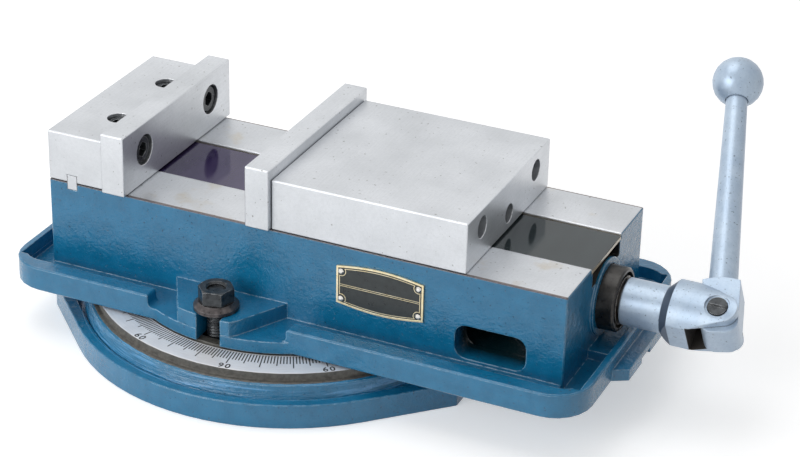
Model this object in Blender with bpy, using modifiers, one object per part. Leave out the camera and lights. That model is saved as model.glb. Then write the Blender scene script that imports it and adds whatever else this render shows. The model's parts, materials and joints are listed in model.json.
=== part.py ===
"""Angle-lock milling vise on a swivel base, jaws part open, with a folding crank.

Metres, +Z up. The origin is on the table, on the swivel axis. +X points to the crank and -Y is the
operator's side. X positions along the bed start from the fixed-jaw end of the body (BED_START).
"""
import math

import bmesh
import bpy
from mathutils import Matrix, Vector

for old in list(bpy.data.objects):
    bpy.data.objects.remove(old, do_unlink=True)

# Clearances
GAP = 0.0003
SLIDE = 0.0006
OVERCUT = 0.002
OVERLAP = 0.001
SHARP_ANGLE = math.radians(28)

# Swivel base
BASE_RADIUS = 0.153
BASE_END_PROUD = 0.002
BASE_RIM_TOP = 0.0175
BASE_RIM_WIDTH = 0.008
BASE_FLOOR = 0.008
LUG_LENGTH = 0.015
LUG_HALF_WIDTH = 0.028
LUG_SLOT_WIDTH = 0.018
LUG_SLOT_DEPTH = 0.018
SCALE_RADIUS = 0.1365
SCALE_TOP = 0.0322
SCALE_STEP = 0.0055
SEAT_TOP = 0.0332
SEAT_RADIUS = 0.1115
RING_BORE = 0.080
CONE_FOOT_RADIUS = 0.1442
CONE_FOOT_TOP = 0.0155
T_SLOT_WIDTH = 0.0145
T_HEAD_WIDTH = 0.025
T_HEAD_FLOOR = 0.010
T_HEAD_TOP = 0.020
PIVOT_RADIUS = 0.016
PIVOT_BOSS_RADIUS = 0.026
PIVOT_BOSS_TOP = 0.026
KEYWAY_WIDTH = 0.016
KEYWAY_DEPTH = 0.004

# Body
BED_START = -0.149
BED_LENGTH = 0.381
BED_WIDTH = 0.1443
BED_HEIGHT = 0.0725
FLANGE_REACH_BACK = 0.022
FLANGE_REACH_FRONT = 0.022
FLANGE_WIDTH = 0.203
FLANGE_CORNER = 0.027
FLANGE_RIM_HEIGHT = 0.0175
FLANGE_RIM_SIDE = 0.0115
FLANGE_RIM_END = 0.005
TRAY_FLOOR = 0.0085
TRAY_END_FLOOR = 0.005
EAR_RADIUS = 0.1135
EAR_X = -0.0045
EAR_GAP_BACK = 0.054
EAR_GAP_FRONT = 0.054
RIM_END_ROUND = 0.0018
RIM_END_FILLET = 0.0034
EAR_BOSS_HEIGHT = 0.0195
EAR_BOSS_BACK_TIP = 0.0245
EAR_BOSS_BACK_ROOT = 0.0475
EAR_BOSS_FRONT_TIP = 0.0195
EAR_BOSS_FRONT_ROOT = 0.0395
EAR_BOSS_INSET = 0.0004
EAR_BOSS_CORNER = 0.004
EAR_SLOT_WIDTH = 0.0182
EAR_SLOT_RUN = 0.007
CLAMP_OUT = 0.02545
CLAMP_X = -0.0062
SLOT_WIDTH = 0.057
LEDGE_WIDTH = 0.052
RAIL_DEPTH = 0.022
BED_SLOT_START = 0.048
CAVITY_START = 0.070
CAVITY_WIDTH = 0.104
CAVITY_FLOOR = 0.0105
END_WALL = 0.025
END_SLOT_DEPTH = 0.015
WINDOW_START = 0.305
WINDOW_LENGTH = 0.050
WINDOW_BOTTOM = 0.011
WINDOW_HEIGHT = 0.0245
WINDOW_CORNER = 0.008
PAD_HALF_WIDTH = 0.026
PAD_TOP = 0.0115
END_LUG_REACH = 0.010
END_LUG_HALF_WIDTH = 0.040
END_LUG_TAPER = 0.007
END_LUG_THICKNESS = 0.0085

# Screw line
SCREW_DROP = 0.033
SCREW_RADIUS = 0.0125
SCREW_TIP = 0.138
THRUST_FLANGE_RADIUS = 0.019
THRUST_FLANGE_THICKNESS = 0.006
JOURNAL_RADIUS = 0.010
RACE_THICKNESS = 0.003
RACE_RADIUS = 0.0185
BALL_RADIUS = 0.0024
BALL_COUNT = 10
BALL_CIRCLE = 0.0145
HOUSING_RADIUS = 0.022
HOUSING_END = 0.395
HOUSING_LENGTH = 0.043
HOUSING_RECESS = 0.004
HOUSING_RECESS_RADIUS = 0.0192
BOSS_RADIUS = 0.0268
BOSS_PROUD = 0.002
RING_THICKNESS = 0.0036
RING_RADIUS = 0.0166

# Jaws
PLATE_WIDTH = 0.1524
PLATE_HEIGHT = 0.044
PLATE_THICKNESS = 0.0175
OPENING = 0.092
FIXED_LENGTH = 0.0435
BLOCK_HEIGHT = 0.0362
MOVABLE_LENGTH = 0.140
EDGE_CHAMFER = 0.0006
KEY_X = 0.018
KEY_WIDTH = 0.0074
KEY_SUNK = 0.005
KEY_RISE = 0.0056
PLATE_SCREW_Y = 0.047
PLATE_SCREW_RISE = 0.024
PLATE_SCREW_RADIUS = 0.0058
PLATE_SCREW_HEAD = 0.009
PLATE_SCREW_HEAD_HEIGHT = 0.0095
PLATE_BORE_RADIUS = 0.011
PLATE_BORE_DEPTH = 0.0115
PLATE_SCREW_GRIP = 0.012
JAW_BOLT_X = 0.033
JAW_BOLT_Y = 0.0333
JAW_BOLT_RADIUS = 0.005
JAW_BOLT_HEAD = 0.0068
JAW_BOLT_HEAD_HEIGHT = 0.010
JAW_BOLT_BORE = 0.0078
JAW_BOLT_SINK = 0.013
JAW_BOLT_GRIP = 0.020
REAR_TAP_RADIUS = 0.0078
REAR_TAP_DEPTH = 0.022
REAR_TAP_RISE = 0.023
SET_SCREW_RADIUS = 0.0064
SET_SCREW_RISE = 0.0115
SET_SCREW_SINK = 0.008

# Angle lock inside the movable jaw
NUT_START = 0.232
NUT_END = 0.275
NUT_WIDTH = 0.080
NUT_BOTTOM_DROP = 0.052
POST_START = 0.248
POST_WIDTH = 0.050
NOSE_FOOT = 0.003
NOSE_RISE = 0.019
NOSE_TOP = 0.025
NOSE_ANGLE = math.radians(45)
HALF_BALL_RADIUS = 0.0095
WEB_GAP = 0.001
POCKET_ROOF = 0.027
POCKET_MARGIN = 0.012
POCKET_WIDTH = 0.054

# Slot covers
COVER_WIDTH = 0.0544
COVER_THICKNESS = 0.003
COVER_DROP = 0.0012
REAR_COVER_START = 0.052
REAR_COVER_END = 0.154
FRONT_COVER_START = 0.292
COVER_PAD_LENGTH = 0.016
COVER_SCREW_RADIUS = 0.0022
COVER_SCREW_HEAD = 0.004
COVER_SCREW_Y = 0.014

# Crank
CRANK_LEAN = math.radians(33.4)
CRANK_FOLD = math.radians(13.8)
SLEEVE_START = 0.3963
SLEEVE_END = 0.4245
SLEEVE_RADIUS = 0.016
HUB_CONE_LENGTH = 0.0065
HUB_RADIUS = 0.0225
HUB_BORE_DEPTH = 0.025
HUB_FLAT = 0.018
CLEVIS_START = 0.4442
CLEVIS_SLOT = 0.028
PIN_X = 0.4614
NOSE_AHEAD = 0.0036
NOSE_RADIUS = 0.0097
PIN_RADIUS = 0.0065
PIN_HEAD_RADIUS = 0.0068
PIN_BORE = 0.0082
PIN_SINK = 0.002
LEVER_BACK = 0.0119
LEVER_FRONT = 0.0131
LEVER_TAIL = 0.0148
LEVER_SHOULDER = 0.0277
LEVER_CORNER = 0.0085
SHOULDER_FRONT_CORNER = 0.005
SHOULDER_BACK_CORNER = 0.0025
SHOULDER_SLOPE = math.radians(22)
LEVER_LENGTH = 0.1887
ROD_ROOT_RADIUS = 0.0098
ROD_TIP_RADIUS = 0.0073
KNOB_RADIUS = 0.0177
SHAFT_KEY_WIDTH = 0.006
SHAFT_KEY_LENGTH = 0.016

# Clamp hardware
CLAMP_STUD_RADIUS = 0.0058
CLAMP_WASHER_RADIUS = 0.0155
CLAMP_WASHER_THICKNESS = 0.0054
CLAMP_WASHER_EDGE = 0.0028
CLAMP_WASHER_CROWN = 0.0126
CLAMP_NUT_FLATS = 0.0218
CLAMP_NUT_HEIGHT = 0.0098
CLAMP_NUT_TURN = math.radians(-17)
NUT_COUNTERSINK = 0.0013
NUT_CROWN_DROP = 0.0045
STUD_RECESS = 0.0026
T_BOLT_HEAD = 0.0221
T_BOLT_HEAD_HEIGHT = 0.009

# Nameplate
NAMEPLATE_X = 0.2512
NAMEPLATE_RISE = 0.0446
NAMEPLATE_LENGTH = 0.0627
NAMEPLATE_HEIGHT = 0.0272
NAMEPLATE_BOW = 0.0032
NAMEPLATE_THICKNESS = 0.0012
RIVET_RADIUS = 0.0012
RIVET_HEAD = 0.0021
RIVET_INSET = 0.0034

# Levels and lines that follow from the sizes above
BODY_BOTTOM = SEAT_TOP + GAP
RAIL_TOP = BODY_BOTTOM + BED_HEIGHT
JAW_FLOOR = RAIL_TOP + GAP
SCREW_Z = RAIL_TOP - SCREW_DROP
BED_END = BED_START + BED_LENGTH
HALF_BED = BED_WIDTH / 2
CLAMP_RADIUS = HALF_BED + CLAMP_OUT
BASE_HALF_LENGTH = BASE_RADIUS + BASE_END_PROUD
LUG_REACH = BASE_HALF_LENGTH + LUG_LENGTH
HALF_FLANGE = FLANGE_WIDTH / 2
TRAY_Z = BODY_BOTTOM + TRAY_FLOOR
RIM_Z = BODY_BOTTOM + FLANGE_RIM_HEIGHT
EAR_TOP = BODY_BOTTOM + EAR_BOSS_HEIGHT
CAVITY_END = BED_END - END_WALL
FIXED_FACE = BED_START + FIXED_LENGTH + GAP + PLATE_THICKNESS
MOVING_FACE = FIXED_FACE + OPENING
MOVABLE_START = MOVING_FACE + PLATE_THICKNESS + GAP
MOVABLE_END = MOVABLE_START + MOVABLE_LENGTH
PLATE_SCREW_Z = JAW_FLOOR + PLATE_SCREW_RISE

# Crank directions: MM is the lever's side of the clevis, NN its pin axis
MM = Vector((0, math.cos(CRANK_LEAN), math.sin(CRANK_LEAN)))
NN = Vector((0, -math.sin(CRANK_LEAN), math.cos(CRANK_LEAN)))
XX = Vector((1, 0, 0))
PIN_POINT = Vector((BED_START + PIN_X, 0, SCREW_Z))
LEVER_DIR = math.cos(CRANK_FOLD) * MM - math.sin(CRANK_FOLD) * XX
LEVER_SIDE = math.cos(CRANK_FOLD) * XX + math.sin(CRANK_FOLD) * MM


SIDES = ((-1, "near"), (1, "far"))

# Turns a flat outline so that its X stays along the bed and its Y stands up
SIDE_ON = Matrix.Rotation(math.pi / 2, 4, "X")


def bed_x(distance):
    """World X of a distance measured from the fixed-jaw end of the body."""
    return BED_START + distance


def new_collection(name):
    collection = bpy.data.collections.new(name)
    bpy.context.scene.collection.children.link(collection)
    return collection


PARTS = new_collection("machine_vise")
CUTTERS = new_collection("cutters")


def paint(name, colour, roughness, metallic):
    material = bpy.data.materials.new(name)
    material.use_nodes = True
    shader = material.node_tree.nodes["Principled BSDF"]
    shader.inputs["Base Color"].default_value = (*colour, 1)
    shader.inputs["Roughness"].default_value = roughness
    shader.inputs["Metallic"].default_value = metallic
    return material


BLUE = paint("blue_casting_paint", (0.03, 0.18, 0.36), 0.35, 0.0)
GROUND = paint("ground_steel", (0.62, 0.62, 0.60), 0.3, 1.0)
BLACK_OXIDE = paint("black_oxide_steel", (0.03, 0.03, 0.035), 0.4, 0.7)
DARK_SHEET = paint("dark_cover_sheet", (0.03, 0.03, 0.05), 0.2, 0.6)
SILVER_PAINT = paint("silver_crank_paint", (0.45, 0.53, 0.62), 0.4, 0.2)
BRASS = paint("brass", (0.70, 0.50, 0.22), 0.35, 1.0)
PLAIN_STEEL = paint("turned_steel", (0.50, 0.50, 0.50), 0.4, 1.0)


# Building blocks

def link(name, mesh, collection=None):
    obj = bpy.data.objects.new(name, mesh)
    (collection or PARTS).objects.link(obj)
    return obj


def finish_mesh(name, bm):
    mesh = bpy.data.meshes.new(name)
    bm.normal_update()
    bm.to_mesh(mesh)
    bm.free()
    return mesh


def cuboid(name, x_range, y_range, z_range):
    """A box between two X, two Y and two Z values."""
    bm = bmesh.new()
    bmesh.ops.create_cube(bm, size=1)
    size = [high - low for low, high in (x_range, y_range, z_range)]
    centre = [(high + low) / 2 for low, high in (x_range, y_range, z_range)]
    bmesh.ops.scale(bm, vec=size, verts=bm.verts)
    bmesh.ops.translate(bm, vec=centre, verts=bm.verts)
    return link(name, finish_mesh(name, bm))


def axis_matrix(point, direction):
    """Matrix that takes local Z to the given direction at the given point."""
    turn = Vector(direction).to_track_quat("Z", "Y").to_matrix().to_4x4()
    return Matrix.Translation(point) @ turn


def rod(name, start, end, radius, end_radius=None, sides=32):
    """A round bar or cone between two points."""
    start, end = Vector(start), Vector(end)
    length = (end - start).length
    bm = bmesh.new()
    bmesh.ops.create_cone(
        bm, cap_ends=True, segments=sides, radius1=radius,
        radius2=radius if end_radius is None else end_radius, depth=length)
    bmesh.ops.transform(bm, matrix=axis_matrix((start + end) / 2, end - start), verts=bm.verts)
    return link(name, finish_mesh(name, bm))


def ball(name, centre, radius, sides=24):
    bm = bmesh.new()
    bmesh.ops.create_uvsphere(bm, u_segments=sides, v_segments=sides // 2, radius=radius)
    bmesh.ops.translate(bm, vec=centre, verts=bm.verts)
    return link(name, finish_mesh(name, bm))


def turned(name, profile, matrix=None, steps=64, closed=False):
    """A turned piece: (radius, height) points, down the outer side, about local Z."""
    mesh = bpy.data.meshes.new(name)
    points = [(radius, 0, height) for radius, height in profile]
    edges = [(index, index + 1) for index in range(len(points) - 1)]
    if closed:
        edges.append((len(points) - 1, 0))
    mesh.from_pydata(points, edges, [])
    obj = link(name, mesh)
    obj.matrix_world = matrix or Matrix.Identity(4)
    screw = obj.modifiers.new("turn", "SCREW")
    screw.steps = steps
    screw.render_steps = steps
    screw.use_merge_vertices = True
    screw.merge_threshold = 0.00001
    return obj


def x_axis_matrix(start_x, y=0.0, z=SCREW_Z):
    """Local Z along +X, starting at start_x."""
    return Matrix.Translation((start_x, y, z)) @ Matrix.Rotation(math.pi / 2, 4, "Y")


def prism(name, outline, low, high, matrix=None):
    """A flat outline extruded between two heights of the given frame."""
    curve = bpy.data.curves.new(name, "CURVE")
    curve.dimensions = "2D"
    curve.fill_mode = "BOTH"
    curve.extrude = (high - low) / 2
    spline = curve.splines.new("POLY")
    spline.points.add(len(outline) - 1)
    for point, (across, along) in zip(spline.points, outline):
        point.co = (across, along, 0, 1)
    spline.use_cyclic_u = True
    guide = bpy.data.objects.new(name + "_outline", curve)
    PARTS.objects.link(guide)
    lift = Matrix.Translation((0, 0, (low + high) / 2))
    guide.matrix_world = (matrix or Matrix.Identity(4)) @ lift
    bpy.context.view_layer.update()
    seen = guide.evaluated_get(bpy.context.evaluated_depsgraph_get())
    mesh = bpy.data.meshes.new_from_object(seen)
    bm = bmesh.new()
    bm.from_mesh(mesh)
    bmesh.ops.remove_doubles(bm, verts=bm.verts, dist=0.000001)
    bmesh.ops.recalc_face_normals(bm, faces=bm.faces)
    bm.to_mesh(mesh)
    bm.free()
    obj = link(name, mesh)
    obj.matrix_world = guide.matrix_world.copy()
    bpy.data.objects.remove(guide, do_unlink=True)
    return obj


def arc(centre, radius, start, end, steps=8):
    """Points on an arc, angles in degrees."""
    angles = [math.radians(start + (end - start) * step / steps) for step in range(steps + 1)]
    return [(centre[0] + radius * math.cos(a), centre[1] + radius * math.sin(a)) for a in angles]


def rounded_rectangle(x_range, y_range, radius, steps=6):
    (left, right), (low, high) = x_range, y_range
    points = arc((right - radius, high - radius), radius, 0, 90, steps)
    points += arc((left + radius, high - radius), radius, 90, 180, steps)
    points += arc((left + radius, low + radius), radius, 180, 270, steps)
    points += arc((right - radius, low + radius), radius, 270, 360, steps)
    return points


def boolean(target, tool, operation):
    """Join or cut with another object, kept as a hidden wire shape."""
    for collection in list(tool.users_collection):
        collection.objects.unlink(tool)
    CUTTERS.objects.link(tool)
    tool.hide_render = True
    tool.display_type = "WIRE"
    modifier = target.modifiers.new(tool.name, "BOOLEAN")
    modifier.operation = operation
    modifier.solver = "EXACT"
    modifier.object = tool


def cut(target, *tools):
    for tool in tools:
        boolean(target, tool, "DIFFERENCE")


def join(target, *pieces):
    for piece in pieces:
        boolean(target, piece, "UNION")


def chamfer(obj, width=EDGE_CHAMFER):
    bevel = obj.modifiers.new("edge_chamfer", "BEVEL")
    bevel.width = width
    bevel.segments = 1
    bevel.limit_method = "ANGLE"


def dress(obj, material, smooth=True):
    """Give an object its material and smooth its round faces."""
    obj.data.materials.clear()
    obj.data.materials.append(material)
    if smooth:
        obj.data.shade_smooth()
        obj.data.set_sharp_from_angle(angle=SHARP_ANGLE)
    return obj


def place_origin(obj, point):
    """Move an object's origin to a point without moving its shape."""
    point = Vector(point)
    local = obj.matrix_world.inverted() @ point
    obj.data.transform(Matrix.Translation(-local))
    obj.matrix_world = obj.matrix_world @ Matrix.Translation(local)


# Swivel base

def base_outline(inset=0.0):
    """Round front and back, with tangent flanks to two flat ends."""
    radius = BASE_RADIUS - inset
    end = BASE_HALF_LENGTH - inset
    corner = radius * math.sqrt(2) - end
    points = [(end, corner)]
    points += arc((0, 0), radius, 45, 135, 20)
    points += [(-end, corner), (-end, -corner)]
    points += arc((0, 0), radius, 225, 315, 20)
    points += [(end, -corner)]
    return points


def lug_outline(side):
    """Rounded clamp lug at one end of the base."""
    root = BASE_HALF_LENGTH - BASE_RIM_WIDTH / 2
    corner = LUG_HALF_WIDTH / 2
    outline = [(root, -LUG_HALF_WIDTH)]
    outline += arc((LUG_REACH - corner, -LUG_HALF_WIDTH + corner), corner, -90, 0, 6)
    outline += arc((LUG_REACH - corner, LUG_HALF_WIDTH - corner), corner, 0, 90, 6)
    outline += [(root, LUG_HALF_WIDTH)]
    return [(side * x, y) for x, y in outline]


def make_swivel_base():
    base = prism("swivel_base", base_outline(), 0, BASE_RIM_TOP)
    chamfer(base, 0.0012)
    cut(base, prism("base_pocket", base_outline(BASE_RIM_WIDTH), BASE_FLOOR, BASE_RIM_TOP + OVERCUT))
    sunk = BASE_FLOOR / 2
    slot_inner = CLAMP_RADIUS - T_SLOT_WIDTH / 2
    slot_outer = CLAMP_RADIUS + T_SLOT_WIDTH / 2
    head_inner = CLAMP_RADIUS - T_HEAD_WIDTH / 2
    head_outer = CLAMP_RADIUS + T_HEAD_WIDTH / 2
    step_foot = SCALE_TOP - SCALE_STEP
    ring_profile = [
        (RING_BORE, SEAT_TOP), (slot_inner, SEAT_TOP), (slot_inner, T_HEAD_TOP),
        (head_inner, T_HEAD_TOP), (head_inner, T_HEAD_FLOOR), (head_outer, T_HEAD_FLOOR),
        (head_outer, T_HEAD_TOP), (slot_outer, T_HEAD_TOP), (slot_outer, SEAT_TOP),
        (SEAT_RADIUS, SEAT_TOP), (SEAT_RADIUS, SCALE_TOP), (SCALE_RADIUS, SCALE_TOP),
        (SCALE_RADIUS, step_foot), (SCALE_RADIUS + 0.0026, step_foot - 0.0002),
        (SCALE_RADIUS + 0.0030, step_foot - 0.0009), (SCALE_RADIUS + 0.0046, step_foot - 0.0014),
        (CONE_FOOT_RADIUS, CONE_FOOT_TOP), (BASE_RADIUS - BASE_RIM_WIDTH + 0.0016, CONE_FOOT_TOP - 0.001),
        (BASE_RADIUS - BASE_RIM_WIDTH + 0.0016, sunk), (RING_BORE, sunk)]
    join(base, turned("scale_ring", ring_profile, steps=60, closed=True))
    boss_profile = [
        (PIVOT_RADIUS + GAP, PIVOT_BOSS_TOP), (PIVOT_BOSS_RADIUS, PIVOT_BOSS_TOP),
        (PIVOT_BOSS_RADIUS, sunk), (PIVOT_RADIUS + GAP, sunk)]
    join(base, turned("pivot_boss", boss_profile, steps=24, closed=True))
    for side in (1, -1):
        end = "crank_end" if side > 0 else "fixed_end"
        join(base, prism("lug_" + end, lug_outline(side), 0.0003, BASE_RIM_TOP - 0.003))
        slot_foot = LUG_REACH - LUG_SLOT_DEPTH + LUG_SLOT_WIDTH / 2
        slot = [(LUG_REACH + OVERCUT, LUG_SLOT_WIDTH / 2)]
        slot += arc((slot_foot, 0), LUG_SLOT_WIDTH / 2, 90, 270, 12)
        slot += [(LUG_REACH + OVERCUT, -LUG_SLOT_WIDTH / 2)]
        slot = [(side * x, y) for x, y in slot]
        cut(base, prism("lug_slot_" + end, slot, -OVERCUT, SCALE_TOP))
        keyway = sorted((side * RING_BORE * 1.2, side * (LUG_REACH + OVERCUT)))
        half_key = KEYWAY_WIDTH / 2
        cut(base, cuboid("base_keyway_" + end, keyway, (-half_key, half_key), (-OVERCUT, KEYWAY_DEPTH)))
    return dress(base, BLUE)


def make_swivel_pivot():
    top = BODY_BOTTOM + 0.0065
    edge = 0.0008
    profile = [
        (0, top), (PIVOT_RADIUS - edge, top), (PIVOT_RADIUS, top - edge),
        (PIVOT_RADIUS, BASE_FLOOR + GAP + edge), (PIVOT_RADIUS - edge, BASE_FLOOR + GAP), (0, BASE_FLOOR + GAP)]
    return dress(turned("swivel_pivot", profile, steps=24), PLAIN_STEEL)


# Vise body

def rim_gap_outline():
    """Side view of the gap in the rim: both ends fall in an S from the rim's top to the tray."""
    back, front = EAR_X - EAR_GAP_BACK, EAR_X + EAR_GAP_FRONT
    foot_in = RIM_END_ROUND + RIM_END_FILLET
    round_z = RIM_Z - RIM_END_ROUND
    fillet_z = TRAY_Z + RIM_END_FILLET
    outline = [(back, RIM_Z + OVERCUT)]
    outline += arc((back, round_z), RIM_END_ROUND, 90, 0, 4)
    outline += arc((back + foot_in, fillet_z), RIM_END_FILLET, 180, 270, 5)
    outline += arc((front - foot_in, fillet_z), RIM_END_FILLET, 270, 360, 5)
    outline += arc((front, round_z), RIM_END_ROUND, 180, 90, 4)
    return outline + [(front, RIM_Z + OVERCUT)]


def ear_shapes(side, name):
    """Ear floor, raised boss and stud slot on one side of the body."""
    low, high = (50, 130) if side > 0 else (-130, -50)
    floor = prism("ear_floor_" + name, arc((0, 0), EAR_RADIUS, low, high, 14), BODY_BOTTOM, TRAY_Z)
    radius = EAR_RADIUS - EAR_BOSS_INSET
    front_x, back_x = EAR_X + EAR_BOSS_FRONT_TIP, EAR_X - EAR_BOSS_BACK_TIP
    root_y = HALF_BED - OVERCUT
    turns = [math.degrees(math.acos(x / radius)) for x in (front_x - EAR_BOSS_CORNER, back_x)]
    outline = [(EAR_X + EAR_BOSS_FRONT_ROOT, root_y)]
    outline += [(front_x, math.sqrt(radius ** 2 - front_x ** 2) - EAR_BOSS_CORNER)]
    outline += arc((0, 0), radius, turns[0], turns[1], 6)
    outline += [(EAR_X - EAR_BOSS_BACK_ROOT, root_y)]
    outline = [(x, side * y) for x, y in outline]
    boss = prism("ear_boss_" + name, outline, BODY_BOTTOM + OVERLAP / 2, EAR_TOP)
    half = EAR_SLOT_WIDTH / 2
    foot = CLAMP_RADIUS - EAR_SLOT_RUN
    slot = [(EAR_X - half, EAR_RADIUS + OVERCUT), (EAR_X - half, foot)]
    slot += arc((EAR_X, foot), half, 180, 360, 12)[1:-1]
    slot += [(EAR_X + half, foot), (EAR_X + half, EAR_RADIUS + OVERCUT)]
    slot = [(x, side * y) for x, y in slot]
    opening = prism("ear_slot_" + name, slot, BODY_BOTTOM - OVERCUT, EAR_TOP + OVERCUT)
    low, high = sorted((-side * (HALF_BED + OVERLAP), -side * (EAR_RADIUS + OVERCUT)))
    rim_gap = prism("rim_gap_" + name, rim_gap_outline(), low, high, SIDE_ON)
    return floor, boss, opening, rim_gap


def make_vise_body():
    x_back = BED_START - FLANGE_REACH_BACK
    x_front = BED_END + FLANGE_REACH_FRONT
    flange = rounded_rectangle((x_back, x_front), (-HALF_FLANGE, HALF_FLANGE), FLANGE_CORNER)
    body = prism("vise_body", flange, BODY_BOTTOM, RIM_Z)
    chamfer(body, 0.0012)
    tray_x = (x_back + FLANGE_RIM_END, x_front - FLANGE_RIM_END)
    tray_y = (-HALF_FLANGE + FLANGE_RIM_SIDE, HALF_FLANGE - FLANGE_RIM_SIDE)
    tray = rounded_rectangle(tray_x, tray_y, FLANGE_CORNER - FLANGE_RIM_SIDE)
    cut(body, prism("tray", tray, TRAY_Z, RIM_Z + OVERCUT))
    end_y = (tray_y[0] + 0.004, tray_y[1] - 0.004)
    deep = (BODY_BOTTOM + TRAY_END_FLOOR, RIM_Z)
    cut(body, cuboid("tray_back", (tray_x[0] + 0.0002, BED_START + 0.001), end_y, deep))
    cut(body, cuboid("tray_front", (BED_END - 0.001, tray_x[1] - 0.0002), end_y, deep))
    slots = []
    for side, name in SIDES:
        floor, boss, opening, rim_gap = ear_shapes(side, name)
        cut(body, rim_gap)
        join(body, floor, boss)
        slots.append(opening)
    bed = cuboid("bed", (BED_START, BED_END), (-HALF_BED, HALF_BED), (BODY_BOTTOM + 0.0005, RAIL_TOP))
    chamfer(bed, 0.0007)
    join(body, bed)
    pad_x = (BED_END - 0.002, x_front - FLANGE_RIM_END + 0.001)
    pad_y = (-PAD_HALF_WIDTH, PAD_HALF_WIDTH)
    join(body, cuboid("screw_end_pad", pad_x, pad_y, (BODY_BOTTOM + 0.001, BODY_BOTTOM + PAD_TOP)))
    lug = [
        (x_front - 0.002, -END_LUG_HALF_WIDTH), (x_front + END_LUG_REACH, -END_LUG_HALF_WIDTH + END_LUG_TAPER),
        (x_front + END_LUG_REACH, END_LUG_HALF_WIDTH - END_LUG_TAPER), (x_front - 0.002, END_LUG_HALF_WIDTH)]
    join(body, prism("end_lug", lug, BODY_BOTTOM + 0.0002, BODY_BOTTOM + END_LUG_THICKNESS))
    half_key = KEYWAY_WIDTH / 2
    keyway_x = (BED_END - 0.02, x_front + END_LUG_REACH + OVERCUT)
    keyway_z = (BODY_BOTTOM - OVERCUT, BODY_BOTTOM + KEYWAY_DEPTH)
    cut(body, cuboid("body_keyway", keyway_x, (-half_key, half_key), keyway_z))
    cut_bed_interior(body)
    cut_screw_end(body)
    cut(body, *slots)
    pivot = rod("pivot_bore", (0, 0, BODY_BOTTOM - OVERCUT), (0, 0, BODY_BOTTOM + 0.007), PIVOT_RADIUS + GAP)
    cut(body, pivot)
    cut_body_holes(body)
    return dress(body, BLUE)


def cut_bed_interior(body):
    """Slot between the rails, ledges for the covers, nut cavity and side windows."""
    half_slot = SLOT_WIDTH / 2
    half_ledge = LEDGE_WIDTH / 2
    ledge_z = RAIL_TOP - COVER_DROP - COVER_THICKNESS - GAP
    slot_x = (bed_x(BED_SLOT_START), BED_END + OVERCUT)
    cut(body, cuboid("slot_top", slot_x, (-half_slot, half_slot), (ledge_z, RAIL_TOP + OVERCUT)))
    lower_x = (bed_x(CAVITY_START), CAVITY_END)
    cut(body, cuboid("slot_lower", lower_x, (-half_ledge, half_ledge), (RAIL_TOP - RAIL_DEPTH - 0.001, ledge_z + 0.001)))
    half_cavity = CAVITY_WIDTH / 2
    cavity_z = (BODY_BOTTOM + CAVITY_FLOOR, RAIL_TOP - RAIL_DEPTH)
    cut(body, cuboid("nut_cavity", lower_x, (-half_cavity, half_cavity), cavity_z))
    end_x = (CAVITY_END - 0.002, BED_END + OVERCUT)
    end_z = (RAIL_TOP - END_SLOT_DEPTH, ledge_z + 0.002)
    cut(body, cuboid("end_slot", end_x, (-half_ledge, half_ledge), end_z))
    window = rounded_rectangle(
        (bed_x(WINDOW_START), bed_x(WINDOW_START) + WINDOW_LENGTH),
        (BODY_BOTTOM + WINDOW_BOTTOM, BODY_BOTTOM + WINDOW_BOTTOM + WINDOW_HEIGHT), WINDOW_CORNER, 4)
    cut(body, prism("side_windows", window, -HALF_BED - OVERCUT, HALF_BED + OVERCUT, SIDE_ON))


def cut_screw_end(body):
    """Boss that carries the bearing housing, and the bore through the end wall."""
    boss = rod("screw_boss", (CAVITY_END + 0.001, 0, SCREW_Z), (BED_END + BOSS_PROUD, 0, SCREW_Z), BOSS_RADIUS, sides=28)
    join(body, boss)
    bore = rod(
        "housing_bore", (CAVITY_END - OVERCUT, 0, SCREW_Z), (BED_END + BOSS_PROUD + OVERCUT, 0, SCREW_Z),
        HOUSING_RADIUS + GAP, sides=28)
    cut(body, bore)


def cut_body_holes(body):
    """Cross keyway, jaw bolt holes and nameplate rivet holes."""
    keyway_x = (bed_x(KEY_X) - KEY_WIDTH / 2 - GAP, bed_x(KEY_X) + KEY_WIDTH / 2 + GAP)
    keyway_y = (-HALF_BED - OVERCUT, HALF_BED + OVERCUT)
    cut(body, cuboid("body_cross_keyway", keyway_x, keyway_y, (RAIL_TOP - KEY_SUNK - GAP, RAIL_TOP + OVERCUT)))
    for side in (-1, 1):
        top = (bed_x(JAW_BOLT_X), side * JAW_BOLT_Y, RAIL_TOP + OVERCUT)
        foot = (bed_x(JAW_BOLT_X), side * JAW_BOLT_Y, RAIL_TOP - JAW_BOLT_GRIP - GAP)
        cut(body, rod("body_bolt_hole", foot, top, JAW_BOLT_RADIUS + GAP, sides=16))
    for x, z in rivet_places():
        hole = rod("rivet_hole", (x, -HALF_BED + 0.004, z), (x, -HALF_BED - OVERCUT, z), RIVET_RADIUS + GAP, sides=8)
        cut(body, hole)


# Clamps that lock the swivel

def clamp_axis(side):
    return CLAMP_X, side * math.sqrt(CLAMP_RADIUS ** 2 - CLAMP_X ** 2)


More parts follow.
